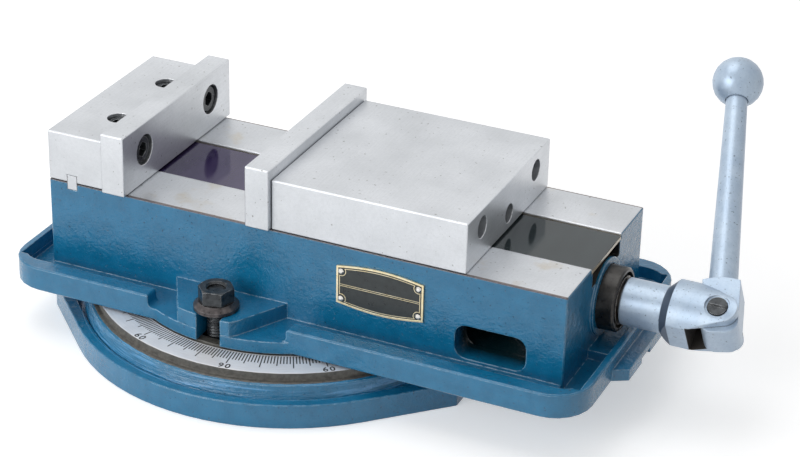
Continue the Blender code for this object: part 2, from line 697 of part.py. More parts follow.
def make_clamp(side, name):
    """T-bolt, washer and nut in one ear."""
    x, y = clamp_axis(side)
    washer_low = EAR_TOP + GAP
    nut_low = washer_low + CLAMP_WASHER_THICKNESS + GAP
    nut_high = nut_low + CLAMP_NUT_HEIGHT
    half = T_BOLT_HEAD / 2
    head_z = (T_HEAD_FLOOR + GAP, T_HEAD_FLOOR + GAP + T_BOLT_HEAD_HEIGHT)
    bolt = rod("clamp_bolt_" + name, (x, y, head_z[0] + 0.001), (x, y, nut_high - STUD_RECESS), CLAMP_STUD_RADIUS, sides=20)
    head = cuboid("bolt_head_" + name, (x - half, x + half), (y - half, y + half), head_z)
    chamfer(head, 0.0008)
    join(bolt, head)
    dress(bolt, BLACK_OXIDE)
    bore = CLAMP_STUD_RADIUS + GAP
    edge = 0.0004
    washer_profile = [
        (bore, CLAMP_WASHER_THICKNESS), (CLAMP_WASHER_CROWN, CLAMP_WASHER_THICKNESS),
        (CLAMP_WASHER_RADIUS - edge, CLAMP_WASHER_EDGE), (CLAMP_WASHER_RADIUS, CLAMP_WASHER_EDGE - edge),
        (CLAMP_WASHER_RADIUS, 0), (bore, 0)]
    washer = turned("clamp_washer_" + name, washer_profile, Matrix.Translation((x, y, washer_low)), 28, closed=True)
    dress(washer, BLACK_OXIDE)
    corner = CLAMP_NUT_FLATS / 2 / math.cos(math.pi / 6)
    nut = rod("clamp_nut_" + name, (x, y, nut_low), (x, y, nut_high), corner, sides=6)
    place_origin(nut, (x, y, nut_low))
    nut.data.transform(Matrix.Rotation(CLAMP_NUT_TURN, 4, "Z"))
    cut(nut, rod("nut_bore_" + name, (x, y, nut_low - OVERCUT), (x, y, nut_high + OVERCUT), bore, sides=20))
    sink_foot = (x, y, nut_high - NUT_COUNTERSINK)
    sink_mouth = (x, y, nut_high + OVERCUT)
    cut(nut, rod("nut_countersink_" + name, sink_foot, sink_mouth, bore, bore + NUT_COUNTERSINK + OVERCUT, sides=20))
    crown_out = corner + OVERCUT * 3
    crown_in = CLAMP_NUT_FLATS / 2 - 0.0006
    crown = [
        (crown_out, CLAMP_NUT_HEIGHT + OVERCUT), (crown_out, CLAMP_NUT_HEIGHT - NUT_CROWN_DROP),
        (crown_in, CLAMP_NUT_HEIGHT + 0.0005), (crown_in, CLAMP_NUT_HEIGHT + OVERCUT)]
    cut(nut, turned("nut_crown_" + name, crown, Matrix.Translation((x, y, nut_low)), 30, closed=True))
    dress(nut, BLACK_OXIDE)


# Jaws

def socket_screw(name, seat, direction, head, head_height, shank, grip, sides=16):
    """Socket-head cap screw; seat is under the head and direction points out of the head."""
    seat, direction = Vector(seat), Vector(direction)
    screw = rod(name, seat, seat + direction * head_height, head, sides=sides)
    join(screw, rod(name + "_shank", seat - direction * grip, seat + direction * 0.001, shank, sides=sides))
    socket_floor = seat + direction * head_height * 0.45
    cut(screw, rod(name + "_socket", socket_floor, seat + direction * (head_height + OVERCUT), head * 0.62, sides=6))
    return dress(screw, BLACK_OXIDE)


def cut_plate_bores(plate, face_x, outward):
    """Counterbored screw holes; face_x is the gripping face, outward its +X or -X sign."""
    depth = PLATE_BORE_DEPTH
    for side in (-1, 1):
        y = side * PLATE_SCREW_Y
        sunk = face_x - outward * depth
        back = face_x - outward * (PLATE_THICKNESS + OVERCUT)
        mouth = face_x + outward * OVERCUT
        cut(plate, rod("plate_bore", (sunk, y, PLATE_SCREW_Z), (mouth, y, PLATE_SCREW_Z), PLATE_BORE_RADIUS, sides=20))
        cut(plate, rod("plate_hole", (back, y, PLATE_SCREW_Z), (face_x, y, PLATE_SCREW_Z), PLATE_SCREW_RADIUS + GAP, sides=16))


def make_plate_screws(name, face_x, outward):
    seat_x = face_x - outward * (PLATE_BORE_DEPTH - GAP)
    grip = PLATE_THICKNESS - PLATE_BORE_DEPTH + PLATE_SCREW_GRIP
    for side, place in SIDES:
        socket_screw(
            name + "_" + place, (seat_x, side * PLATE_SCREW_Y, PLATE_SCREW_Z), (outward, 0, 0),
            PLATE_SCREW_HEAD, PLATE_SCREW_HEAD_HEIGHT, PLATE_SCREW_RADIUS, grip)


def cut_plate_taps(block, face_x, inward):
    """Tapped holes in a jaw block for the plate screws."""
    for side in (-1, 1):
        y = side * PLATE_SCREW_Y
        end = face_x + inward * (PLATE_SCREW_GRIP + 0.001)
        start = face_x - inward * OVERCUT
        cut(block, rod("plate_tap", (start, y, PLATE_SCREW_Z), (end, y, PLATE_SCREW_Z), PLATE_SCREW_RADIUS + GAP, sides=16))


def make_jaw_plate(name, x_range, face_x, outward):
    half = PLATE_WIDTH / 2
    plate = cuboid(name, x_range, (-half, half), (JAW_FLOOR, JAW_FLOOR + PLATE_HEIGHT))
    chamfer(plate)
    cut_plate_bores(plate, face_x, outward)
    return dress(plate, GROUND)


def make_fixed_jaw():
    x_range = (BED_START, bed_x(FIXED_LENGTH))
    jaw = cuboid("fixed_jaw", x_range, (-HALF_BED, HALF_BED), (JAW_FLOOR, JAW_FLOOR + BLOCK_HEIGHT))
    chamfer(jaw)
    top = JAW_FLOOR + BLOCK_HEIGHT
    half_key = KEY_WIDTH / 2 + GAP
    keyway_x = (bed_x(KEY_X) - half_key, bed_x(KEY_X) + half_key)
    keyway_z = (JAW_FLOOR - OVERCUT, RAIL_TOP + KEY_RISE + GAP)
    cut(jaw, cuboid("jaw_keyway", keyway_x, (-HALF_BED - OVERCUT, HALF_BED + OVERCUT), keyway_z))
    x = bed_x(JAW_BOLT_X)
    for side in (-1, 1):
        y = side * JAW_BOLT_Y
        cut(jaw, rod("jaw_bolt_bore", (x, y, top - JAW_BOLT_SINK), (x, y, top + OVERCUT), JAW_BOLT_BORE, sides=24))
        cut(jaw, rod("jaw_bolt_hole", (x, y, JAW_FLOOR - OVERCUT), (x, y, top - OVERCUT), JAW_BOLT_RADIUS + GAP, sides=16))
        z = JAW_FLOOR + REAR_TAP_RISE
        y = side * PLATE_SCREW_Y
        cut(jaw, rod("outer_tap", (BED_START - OVERCUT, y, z), (BED_START + REAR_TAP_DEPTH * 0.8, y, z), REAR_TAP_RADIUS, sides=18))
    cut_plate_taps(jaw, bed_x(FIXED_LENGTH), -1)
    dress(jaw, GROUND)
    key_x = (bed_x(KEY_X) - KEY_WIDTH / 2, bed_x(KEY_X) + KEY_WIDTH / 2)
    key = cuboid("fixed_jaw_key", key_x, (-HALF_BED, HALF_BED), (RAIL_TOP - KEY_SUNK, RAIL_TOP + KEY_RISE))
    dress(key, PLAIN_STEEL)
    seat_z = top - JAW_BOLT_SINK + GAP
    grip = seat_z - (RAIL_TOP - JAW_BOLT_GRIP)
    for side, place in SIDES:
        socket_screw(
            "fixed_jaw_bolt_" + place, (x, side * JAW_BOLT_Y, seat_z), (0, 0, 1),
            JAW_BOLT_HEAD, JAW_BOLT_HEAD_HEIGHT, JAW_BOLT_RADIUS, grip)
    plate_x = (bed_x(FIXED_LENGTH) + GAP, FIXED_FACE)
    make_jaw_plate("fixed_jaw_plate", plate_x, FIXED_FACE, 1)
    make_plate_screws("fixed_plate_screw", FIXED_FACE, 1)


def nose_profile():
    """Side outline of the nut above its block: post, 45 degree nose and flat top (X, Z)."""
    foot_x = bed_x(POST_START)
    foot_z = RAIL_TOP + NOSE_FOOT
    tip_x = foot_x - NOSE_RISE / math.tan(NOSE_ANGLE)
    tip_z = foot_z + NOSE_RISE
    return foot_x, foot_z, tip_x, tip_z


def half_ball_frame():
    """Centre of the half ball on the nut's inclined face, and the way it bulges."""
    foot_x, foot_z, tip_x, tip_z = nose_profile()
    bulge = Vector((-math.sin(NOSE_ANGLE), 0, -math.cos(NOSE_ANGLE)))
    centre = Vector(((foot_x + tip_x) / 2, 0, (foot_z + tip_z) / 2)) + bulge * GAP
    return centre, bulge


def make_movable_jaw():
    x_range = (MOVABLE_START, MOVABLE_END)
    jaw = cuboid("movable_jaw", x_range, (-HALF_BED, HALF_BED), (JAW_FLOOR, JAW_FLOOR + BLOCK_HEIGHT))
    chamfer(jaw)
    foot_x, foot_z, _, _ = nose_profile()
    web_x = foot_x - WEB_GAP / math.sin(NOSE_ANGLE)
    post_end = bed_x(NUT_END)
    roof = JAW_FLOOR + POCKET_ROOF
    pocket = [
        (web_x, JAW_FLOOR - OVERCUT), (post_end + POCKET_MARGIN, JAW_FLOOR - OVERCUT),
        (post_end + POCKET_MARGIN, roof), (web_x - (roof - foot_z) / math.tan(NOSE_ANGLE), roof),
        (web_x, foot_z)]
    half_pocket = POCKET_WIDTH / 2
    cut(jaw, prism("lock_pocket", pocket, -half_pocket, half_pocket, SIDE_ON))
    centre, bulge = half_ball_frame()
    cut(jaw, ball("half_ball_socket", centre, HALF_BALL_RADIUS + GAP, 16))
    z = JAW_FLOOR + SET_SCREW_RISE
    mouth = MOVABLE_END + OVERCUT
    cut(jaw, rod("set_screw_tap", (post_end + POCKET_MARGIN - OVERCUT, 0, z), (mouth, 0, z), SET_SCREW_RADIUS + GAP, sides=20))
    for side in (-1, 1):
        y = side * PLATE_SCREW_Y
        z_tap = JAW_FLOOR + REAR_TAP_RISE
        cut(jaw, rod("rear_tap", (MOVABLE_END - REAR_TAP_DEPTH, y, z_tap), (mouth, y, z_tap), REAR_TAP_RADIUS, sides=18))
    cut_plate_taps(jaw, MOVABLE_START, 1)
    pad_z = (RAIL_TOP - COVER_DROP + GAP, JAW_FLOOR + 0.001)
    pad_x = (bed_x(FRONT_COVER_START) + 0.001, bed_x(FRONT_COVER_START) + 0.001 + COVER_PAD_LENGTH)
    join(jaw, cuboid("cover_pad", pad_x, (-COVER_SCREW_Y * 1.5, COVER_SCREW_Y * 1.5), pad_z))
    for side in (-1, 1):
        x, y, _ = front_cover_screw(side)
        cut(jaw, rod("cover_tap", (x, y, pad_z[0] - OVERCUT), (x, y, JAW_FLOOR + 0.006), COVER_SCREW_RADIUS + GAP, sides=12))
    dress(jaw, GROUND)
    make_jaw_plate("movable_jaw_plate", (MOVING_FACE, MOVING_FACE + PLATE_THICKNESS), MOVING_FACE, -1)
    make_plate_screws("movable_plate_screw", MOVING_FACE, -1)


def make_vise_nut():
    foot_x, foot_z, tip_x, tip_z = nose_profile()
    post_end = bed_x(NUT_END)
    outline = [
        (foot_x, RAIL_TOP - RAIL_DEPTH - 0.006), (post_end - 0.0005, RAIL_TOP - RAIL_DEPTH - 0.006),
        (post_end - 0.0005, RAIL_TOP + NOSE_TOP), (tip_x, RAIL_TOP + NOSE_TOP), (tip_x, tip_z), (foot_x, foot_z)]
    half_post = POST_WIDTH / 2
    block_z = (RAIL_TOP - NUT_BOTTOM_DROP, RAIL_TOP - RAIL_DEPTH - SLIDE)
    half_block = NUT_WIDTH / 2
    nut = cuboid("vise_nut", (bed_x(NUT_START), post_end), (-half_block, half_block), block_z)
    chamfer(nut, 0.001)
    join(nut, prism("nut_post", outline, -half_post, half_post, SIDE_ON))
    bore = rod(
        "nut_thread_bore", (bed_x(NUT_START) - OVERCUT, 0, SCREW_Z), (post_end + OVERCUT, 0, SCREW_Z),
        SCREW_RADIUS + GAP, sides=24)
    cut(nut, bore)
    return dress(nut, PLAIN_STEEL)


def make_half_ball():
    """Half sphere whose flat face lies on the nut's nose."""
    centre, bulge = half_ball_frame()
    bm = bmesh.new()
    bmesh.ops.create_uvsphere(bm, u_segments=16, v_segments=8, radius=HALF_BALL_RADIUS)
    cut_plane = bmesh.ops.bisect_plane(
        bm, geom=bm.verts[:] + bm.edges[:] + bm.faces[:], plane_co=(0, 0, 0), plane_no=(0, 0, -1), clear_outer=True)
    rim = [item for item in cut_plane["geom_cut"] if isinstance(item, bmesh.types.BMEdge)]
    bmesh.ops.contextual_create(bm, geom=rim)
    bmesh.ops.recalc_face_normals(bm, faces=bm.faces)
    bmesh.ops.transform(bm, matrix=axis_matrix(centre, bulge), verts=bm.verts)
    return dress(link("lock_half_ball", finish_mesh("lock_half_ball", bm)), PLAIN_STEEL)


def make_set_screw():
    z = JAW_FLOOR + SET_SCREW_RISE
    tip = bed_x(NUT_END) + GAP
    tail = MOVABLE_END - SET_SCREW_SINK
    screw = rod("jaw_set_screw", (tip, 0, z), (tail, 0, z), SET_SCREW_RADIUS, sides=20)
    cut(screw, rod("set_screw_socket", (tail - 0.005, 0, z), (tail + OVERCUT, 0, z), SET_SCREW_RADIUS * 0.6, sides=6))
    return dress(screw, BLACK_OXIDE)


# Screw, thrust bearing and housing

def thrust_stack():
    """X of each face along the thrust bearing, from the housing inwards to the screw flange."""
    housing = bed_x(HOUSING_END - HOUSING_LENGTH)
    outer_race = housing - GAP - RACE_THICKNESS
    balls = outer_race - GAP - 2 * BALL_RADIUS
    inner_race = balls - GAP - RACE_THICKNESS
    flange_end = inner_race - GAP
    flange_start = flange_end - THRUST_FLANGE_THICKNESS
    return flange_start, flange_end, inner_race, balls, outer_race, housing


def make_lead_screw():
    flange_start, flange_end, *_ = thrust_stack()
    tip = bed_x(SCREW_TIP)
    journal_end = bed_x(SLEEVE_START) + HUB_BORE_DEPTH - 0.001
    chamfer_run = 0.0015
    profile = [
        (0, journal_end - tip), (JOURNAL_RADIUS - 0.001, journal_end - tip),
        (JOURNAL_RADIUS, journal_end - tip - 0.001), (JOURNAL_RADIUS, flange_end - tip),
        (THRUST_FLANGE_RADIUS, flange_end - tip), (THRUST_FLANGE_RADIUS, flange_start - tip),
        (SCREW_RADIUS, flange_start - tip), (SCREW_RADIUS, chamfer_run), (SCREW_RADIUS - chamfer_run, 0), (0, 0)]
    screw = turned("lead_screw", profile, x_axis_matrix(tip), 20)
    half = SHAFT_KEY_WIDTH / 2 + GAP
    key_x = shaft_key_range()
    slot = cuboid(
        "shaft_keyseat", (key_x[0] - GAP, key_x[1] + GAP), (-half, half),
        (SCREW_Z + JOURNAL_RADIUS - 0.0035, SCREW_Z + JOURNAL_RADIUS + OVERCUT))
    cut(screw, slot)
    return dress(screw, PLAIN_STEEL)


def make_thrust_bearing():
    *_, inner_race, balls, outer_race, _ = thrust_stack()
    bore = JOURNAL_RADIUS + GAP
    for name, start in (("thrust_race_inner", inner_race), ("thrust_race_outer", outer_race)):
        profile = [(bore, RACE_THICKNESS), (RACE_RADIUS, RACE_THICKNESS), (RACE_RADIUS, 0), (bore, 0)]
        dress(turned(name, profile, x_axis_matrix(start), 24, closed=True), PLAIN_STEEL)
    middle = balls + BALL_RADIUS
    half_cage = BALL_RADIUS * 0.45
    inner, outer = BALL_CIRCLE - BALL_RADIUS - 0.0006, BALL_CIRCLE + BALL_RADIUS + 0.0006
    profile = [(inner, half_cage), (outer, half_cage), (outer, -half_cage), (inner, -half_cage)]
    cage = turned("thrust_cage", profile, x_axis_matrix(middle), 24, closed=True)
    spheres = []
    for index in range(BALL_COUNT):
        angle = 2 * math.pi * index / BALL_COUNT
        place = (middle, BALL_CIRCLE * math.cos(angle), SCREW_Z + BALL_CIRCLE * math.sin(angle))
        spheres.append(ball("thrust_ball_%d" % index, place, BALL_RADIUS, 8))
    join(cage, *spheres)
    dress(cage, BRASS)


def make_bearing_housing():
    *_, start = thrust_stack()
    length = HOUSING_LENGTH
    bore = JOURNAL_RADIUS + SLIDE
    edge = 0.0012
    profile = [
        (bore, length - HOUSING_RECESS), (HOUSING_RECESS_RADIUS, length - HOUSING_RECESS),
        (HOUSING_RECESS_RADIUS, length), (HOUSING_RADIUS - edge, length), (HOUSING_RADIUS, length - edge),
        (HOUSING_RADIUS, 0), (bore, 0)]
    housing = turned("bearing_housing", profile, x_axis_matrix(start), 32, closed=True)
    return dress(housing, BLACK_OXIDE)


def make_retaining_ring():
    start = bed_x(HOUSING_END) - HOUSING_RECESS + GAP
    bore = JOURNAL_RADIUS + GAP
    profile = [(bore, RING_THICKNESS), (RING_RADIUS, RING_THICKNESS), (RING_RADIUS, 0), (bore, 0)]
    return dress(turned("retaining_ring", profile, x_axis_matrix(start), 24, closed=True), BRASS)


# Slot covers

def front_cover_screw(side):
    x = bed_x(FRONT_COVER_START) + 0.001 + COVER_PAD_LENGTH / 2
    return x, side * COVER_SCREW_Y, RAIL_TOP - COVER_DROP


def make_cover(name, start, end):
    top = RAIL_TOP - COVER_DROP
    half = COVER_WIDTH / 2
    cover = cuboid(name, (start, end), (-half, half), (top - COVER_THICKNESS, top))
    chamfer(cover, 0.0004)
    return dress(cover, DARK_SHEET)


def make_covers():
    rear = make_cover("rear_cover", bed_x(REAR_COVER_START), bed_x(REAR_COVER_END))
    front = make_cover("front_cover", bed_x(FRONT_COVER_START), BED_END)
    top = RAIL_TOP - COVER_DROP
    low = top - COVER_THICKNESS
    for side, place in SIDES:
        x, y, _ = front_cover_screw(side)
        cut(front, rod("front_cover_hole", (x, y, low - OVERCUT), (x, y, top + OVERCUT), COVER_SCREW_RADIUS + GAP, sides=12))
        head_low = low - 0.0018 - GAP
        name = "front_cover_screw_" + place
        screw = rod(name, (x, y, head_low), (x, y, low - GAP), COVER_SCREW_HEAD, sides=16)
        join(screw, rod(name + "_shank", (x, y, low - 0.001), (x, y, JAW_FLOOR + 0.005), COVER_SCREW_RADIUS, sides=12))
        dress(screw, BLACK_OXIDE)


# Crank

def shaft_key_range():
    start = bed_x(SLEEVE_START) + 0.005
    return start, start + SHAFT_KEY_LENGTH


def clevis_frame():
    """Frame at the pin: X along the screw, Y along MM, Z along NN."""
    turn = Matrix((XX, MM, NN)).transposed().to_4x4()
    return Matrix.Translation(PIN_POINT) @ turn


def lever_frame():
    """Frame at the pin: X across the lever, Y along it, Z along the pin."""
    turn = Matrix((LEVER_SIDE, LEVER_DIR, NN)).transposed().to_4x4()
    return Matrix.Translation(PIN_POINT) @ turn


def cheek_outline(far):
    """Flats, taper and round nose of the clevis, seen along the pin; far reaches past the sleeve."""
    flat_x = bed_x(SLEEVE_END) - PIN_POINT.x
    slot_x = bed_x(CLEVIS_START) - PIN_POINT.x
    away = Vector((NOSE_AHEAD - slot_x, -HUB_FLAT))
    tangent = math.degrees(math.atan2(away.y, away.x) + math.asin(NOSE_RADIUS / away.length)) + 90
    outline = [(-far, far), (flat_x, far), (flat_x, HUB_FLAT), (slot_x, HUB_FLAT)]
    outline += arc((NOSE_AHEAD, 0), NOSE_RADIUS, tangent, -tangent, 14)
    outline += [(slot_x, -HUB_FLAT), (flat_x, -HUB_FLAT), (flat_x, -far), (-far, -far)]
    return outline


def make_crank_hub():
    start = bed_x(SLEEVE_START)
    sleeve = bed_x(SLEEVE_END) - start
    cone = sleeve + HUB_CONE_LENGTH
    nose = bed_x(PIN_X) + NOSE_AHEAD + NOSE_RADIUS - start
    bore = JOURNAL_RADIUS + GAP
    profile = [
        (0, nose + OVERCUT), (HUB_RADIUS, nose + OVERCUT), (HUB_RADIUS, cone), (SLEEVE_RADIUS, sleeve),
        (SLEEVE_RADIUS, 0.0008), (SLEEVE_RADIUS - 0.0008, 0), (bore, 0), (bore, HUB_BORE_DEPTH), (0, HUB_BORE_DEPTH)]
    hub = turned("crank_hub", profile, x_axis_matrix(start), 36)
    place_origin(hub, (start, 0, SCREW_Z))
    reach = HUB_RADIUS + OVERCUT
    far = HUB_RADIUS * 4
    boolean(hub, prism("clevis_cheeks", cheek_outline(far), -reach, reach, clevis_frame()), "INTERSECT")
    slot_x = bed_x(CLEVIS_START) - PIN_POINT.x
    half_slot = CLEVIS_SLOT / 2
    slot = [(slot_x, -far), (far, -far), (far, far), (slot_x, far)]
    cut(hub, prism("clevis_slot", slot, -half_slot, half_slot, clevis_frame()))
    cut(hub, rod("pin_hole", PIN_POINT - NN * reach, PIN_POINT + NN * reach, PIN_RADIUS + GAP, sides=24))
    for way in (1, -1):
        sink = PIN_POINT + NN * way * (HUB_RADIUS - PIN_SINK)
        cut(hub, rod("pin_recess", sink, sink + NN * way * 0.01, PIN_BORE, sides=24))
    key_x = shaft_key_range()
    half = SHAFT_KEY_WIDTH / 2 + GAP
    key_slot = cuboid(
        "hub_keyway", (start - OVERCUT, key_x[1] + GAP), (-half, half),
        (SCREW_Z + JOURNAL_RADIUS - OVERCUT, SCREW_Z + JOURNAL_RADIUS + 0.0028 + GAP))
    cut(hub, key_slot)
    dress(hub, SILVER_PAINT)
    half = SHAFT_KEY_WIDTH / 2
    key = cuboid("shaft_key", key_x, (-half, half), (SCREW_Z + JOURNAL_RADIUS - 0.0032, SCREW_Z + JOURNAL_RADIUS + 0.0028))
    dress(key, PLAIN_STEEL)


def make_crank_pin():
    reach = HUB_RADIUS - PIN_SINK + 0.0012
    pin = rod("crank_pin", PIN_POINT - NN * reach, PIN_POINT + NN * reach, PIN_RADIUS, sides=24)
    for way in (1, -1):
        end = PIN_POINT + NN * way * reach
        slot = prism(
            "pin_slot_%s" % ("top" if way > 0 else "foot"),
            [(-0.01, -0.0007), (0.01, -0.0007), (0.01, 0.0007), (-0.01, 0.0007)],
            way * reach - 0.0012, way * reach + 0.0012, clevis_frame())
        cut(pin, slot)
    return dress(pin, BLACK_OXIDE)


def make_crank_lever():
    half = CLEVIS_SLOT / 2 - GAP
    front, back = SHOULDER_FRONT_CORNER, SHOULDER_BACK_CORNER
    outline = arc((LEVER_FRONT - front, LEVER_SHOULDER - front), front, 0, 90, 4)
    outline += arc((back - LEVER_BACK, LEVER_SHOULDER - back), back, 90, 180, 3)
    outline += arc((LEVER_CORNER - LEVER_BACK, LEVER_CORNER - LEVER_TAIL), LEVER_CORNER, 180, 270, 8)
    outline += arc((LEVER_FRONT - LEVER_CORNER, LEVER_CORNER - LEVER_TAIL), LEVER_CORNER, 270, 360, 8)
    lever = prism("crank_lever", outline, -half, half, lever_frame())
    chamfer(lever, 0.0008)
    place_origin(lever, PIN_POINT)
    wide = CLEVIS_SLOT
    fall = (wide - ROD_ROOT_RADIUS) * math.tan(SHOULDER_SLOPE)
    shoulder = [(0, LEVER_SHOULDER), (ROD_ROOT_RADIUS, LEVER_SHOULDER), (wide, LEVER_SHOULDER - fall), (wide, -wide), (0, -wide)]
    boolean(lever, turned("turned_shoulder", shoulder, axis_matrix(PIN_POINT, LEVER_DIR), 36), "INTERSECT")
    root = PIN_POINT + LEVER_DIR * (LEVER_SHOULDER - ROD_ROOT_RADIUS)
    tip = PIN_POINT + LEVER_DIR * (LEVER_LENGTH - KNOB_RADIUS * 0.35)
    join(lever, rod("lever_rod", root, tip, ROD_ROOT_RADIUS, ROD_TIP_RADIUS, sides=24))
    cut(lever, rod("lever_eye", PIN_POINT - NN * 0.03, PIN_POINT + NN * 0.03, PIN_RADIUS + GAP, sides=24))
    dress(lever, SILVER_PAINT)
    centre = PIN_POINT + LEVER_DIR * LEVER_LENGTH
    knob = ball("ball_knob", centre, KNOB_RADIUS, 24)
    knob.matrix_world = Matrix.Identity(4)
    bore_end = tip + LEVER_DIR * GAP
    root_radius = ROD_TIP_RADIUS + (ROD_ROOT_RADIUS - ROD_TIP_RADIUS) * 0.2
    cut(knob, rod("knob_bore", centre - LEVER_DIR * (KNOB_RADIUS + OVERCUT), bore_end, root_radius + GAP, ROD_TIP_RADIUS + GAP, sides=24))
    dress(knob, SILVER_PAINT)


# Nameplate

def rivet_places():
    """World X and Z of the four nameplate rivets."""
    dx = NAMEPLATE_LENGTH / 2 - RIVET_INSET
    dz = NAMEPLATE_HEIGHT / 2 - RIVET_INSET
    x = bed_x(NAMEPLATE_X)
    z = BODY_BOTTOM + NAMEPLATE_RISE
    return [(x + sx * dx, z + sz * dz) for sx in (-1, 1) for sz in (-1, 1)]


def nameplate_outline():
    """Rectangle with bowed long edges, around its centre."""
    half_length = NAMEPLATE_LENGTH / 2
    half_height = NAMEPLATE_HEIGHT / 2
    steps = 12
    top = []
    for step in range(steps + 1):
        across = half_length - NAMEPLATE_LENGTH * step / steps
        lift = NAMEPLATE_BOW * math.cos(math.pi / 2 * across / half_length)
        top.append((across, half_height + lift))
    return top + [(-across, -rise) for across, rise in top]


def make_nameplate():
    x = bed_x(NAMEPLATE_X)
    z = BODY_BOTTOM + NAMEPLATE_RISE
    face = Matrix.Translation((x, -HALF_BED - GAP, z)) @ SIDE_ON
    plate = prism("nameplate", nameplate_outline(), 0, NAMEPLATE_THICKNESS, face)
    front = -HALF_BED - GAP - NAMEPLATE_THICKNESS
    for index, (rivet_x, rivet_z) in enumerate(rivet_places()):
        hole = rod("nameplate_hole", (rivet_x, -HALF_BED + 0.001, rivet_z), (rivet_x, front - OVERCUT, rivet_z), RIVET_RADIUS + GAP, sides=8)
        cut(plate, hole)
        head = Matrix.Translation((rivet_x, front - GAP, rivet_z)) @ SIDE_ON
        foot = -(NAMEPLATE_THICKNESS + 0.0035)
        profile = [
            (0, RIVET_HEAD * 0.6), (RIVET_HEAD * 0.6, RIVET_HEAD * 0.45), (RIVET_HEAD, 0),
            (RIVET_RADIUS, 0), (RIVET_RADIUS, foot), (0, foot)]
        dress(turned("nameplate_rivet_%d" % (index + 1), profile, head, 8), BRASS)
    dress(plate, BRASS)


make_swivel_base()
make_swivel_pivot()
make_vise_body()
for ear_side, ear_name in SIDES:
    make_clamp(ear_side, ear_name)
make_fixed_jaw()
make_movable_jaw()
make_vise_nut()
make_half_ball()
make_set_screw()
make_lead_screw()
make_thrust_bearing()
make_bearing_housing()
make_retaining_ring()
make_covers()
make_crank_hub()
make_crank_pin()
make_crank_lever()
make_nameplate()
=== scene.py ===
"""Looks of the machine vise: the finish of every piece, the degree scale and the studs' threads.

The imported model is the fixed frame. Metres, +Z up, the origin under the swivel axis.
"""
import json
import math

import bpy
from mathutils import Matrix, Vector

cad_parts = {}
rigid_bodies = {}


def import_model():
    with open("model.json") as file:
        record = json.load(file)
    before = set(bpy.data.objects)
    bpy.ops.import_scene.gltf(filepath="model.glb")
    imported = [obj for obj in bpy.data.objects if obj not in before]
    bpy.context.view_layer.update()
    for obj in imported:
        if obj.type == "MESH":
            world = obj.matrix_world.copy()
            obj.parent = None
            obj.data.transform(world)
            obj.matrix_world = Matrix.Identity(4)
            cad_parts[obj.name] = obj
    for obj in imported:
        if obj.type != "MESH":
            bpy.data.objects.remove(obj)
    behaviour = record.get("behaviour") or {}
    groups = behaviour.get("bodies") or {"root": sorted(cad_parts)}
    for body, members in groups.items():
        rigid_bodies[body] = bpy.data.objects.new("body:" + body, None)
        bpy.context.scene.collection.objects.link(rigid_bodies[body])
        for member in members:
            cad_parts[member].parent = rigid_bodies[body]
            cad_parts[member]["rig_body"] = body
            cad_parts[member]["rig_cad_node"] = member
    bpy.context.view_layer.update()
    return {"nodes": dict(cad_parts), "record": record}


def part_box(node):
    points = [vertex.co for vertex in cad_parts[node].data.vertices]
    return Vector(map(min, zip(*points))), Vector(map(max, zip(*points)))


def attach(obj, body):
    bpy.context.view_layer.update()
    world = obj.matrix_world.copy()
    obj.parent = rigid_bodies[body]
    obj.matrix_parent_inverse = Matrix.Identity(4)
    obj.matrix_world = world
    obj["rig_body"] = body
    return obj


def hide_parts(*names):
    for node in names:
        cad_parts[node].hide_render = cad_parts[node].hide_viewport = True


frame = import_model()
nodes = frame["nodes"]
record = frame["record"]

# Where things are, read from the frame
BODY_LOW, BODY_HIGH = (Vector(corner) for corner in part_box("vise_body"))
PLATE_LOW, PLATE_HIGH = (Vector(corner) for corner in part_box("nameplate"))
SCREW_LOW, SCREW_HIGH = (Vector(corner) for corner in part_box("lead_screw"))
RAIL_TOP = BODY_HIGH.z
SCREW_Z = (SCREW_LOW.z + SCREW_HIGH.z) / 2
BODY_SIDE = -PLATE_HIGH.y

# Body: the slot under the covers and the hollow under the screw
SLOT_HALF = 0.0288
SLOT_DEPTH = 0.024
SLOT_END = 0.2318
BED_START = -0.149
CAVITY_END = 0.207

# Crank hub
SLEEVE_LENGTH = 0.0282
CONE_LENGTH = 0.0065
HUB_CONE_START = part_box("crank_hub")[0][0] + SLEEVE_LENGTH
HUB_CONE_END = HUB_CONE_START + CONE_LENGTH
CRANK_LEAN = math.radians(33.4)
CLEVIS_HALF = 0.014
CLEVIS_FLOOR = 0.2950

# Threads
THREAD_END = 0.180
SCREW_PITCH = 0.005
STUD_ROOT = 0.0059
STUD_CREST = 0.0065
STUD_PITCH = 0.0022
STUD_SIDES = 28
STUD_START = 0.0006
STUD_CLEARANCE = 0.0004

# Nameplate
PLATE_BOW = 0.0032
PLATE_RIM = 0.00135
PLATE_LINE = 0.0024
RIVET_MARGIN = 0.0034
RULE_RISE = 0.0006
RULE_INSET = 0.0028

# Degree scale
SCALE_FACE = 0.0322
SEAT_INNER = 0.080
SCALE_OUTER = 0.1365
STEP_OUTER = 0.1393
STEP_LOW = 0.024
CONE_OUTER = 0.1466
CONE_LOW = 0.012
SLOT_LOW = 0.0095
TICK_INNER = 0.1145
TICK_WIDTH = 0.00078
TICK_DEPTH = 0.00006
TICK_ENDS = {1: 0.1240, 5: 0.1268, 10: 0.1296}
NUMERAL_RADIUS = 0.1333
NUMERAL_SIZE = 0.0074
NUMERAL_GAP = 0.0024
NUMERAL_WEIGHT = 0.00012
NUMERAL_STEP = 30
NINETY_ANGLE = -82.3

# Camera of the photograph
PHOTO_WIDTH = 800
FOCAL_PIXELS = 2413.67
SENSOR = 36
CAMERA_PLACE = Vector((0.67281, -1.33630, 0.83993))
CAMERA_AZIMUTH = math.radians(23.804)
CAMERA_DROP = math.radians(27.239)
CAMERA_ROLL = math.radians(1.435)


def deselect():
    bpy.ops.object.select_all(action="DESELECT")


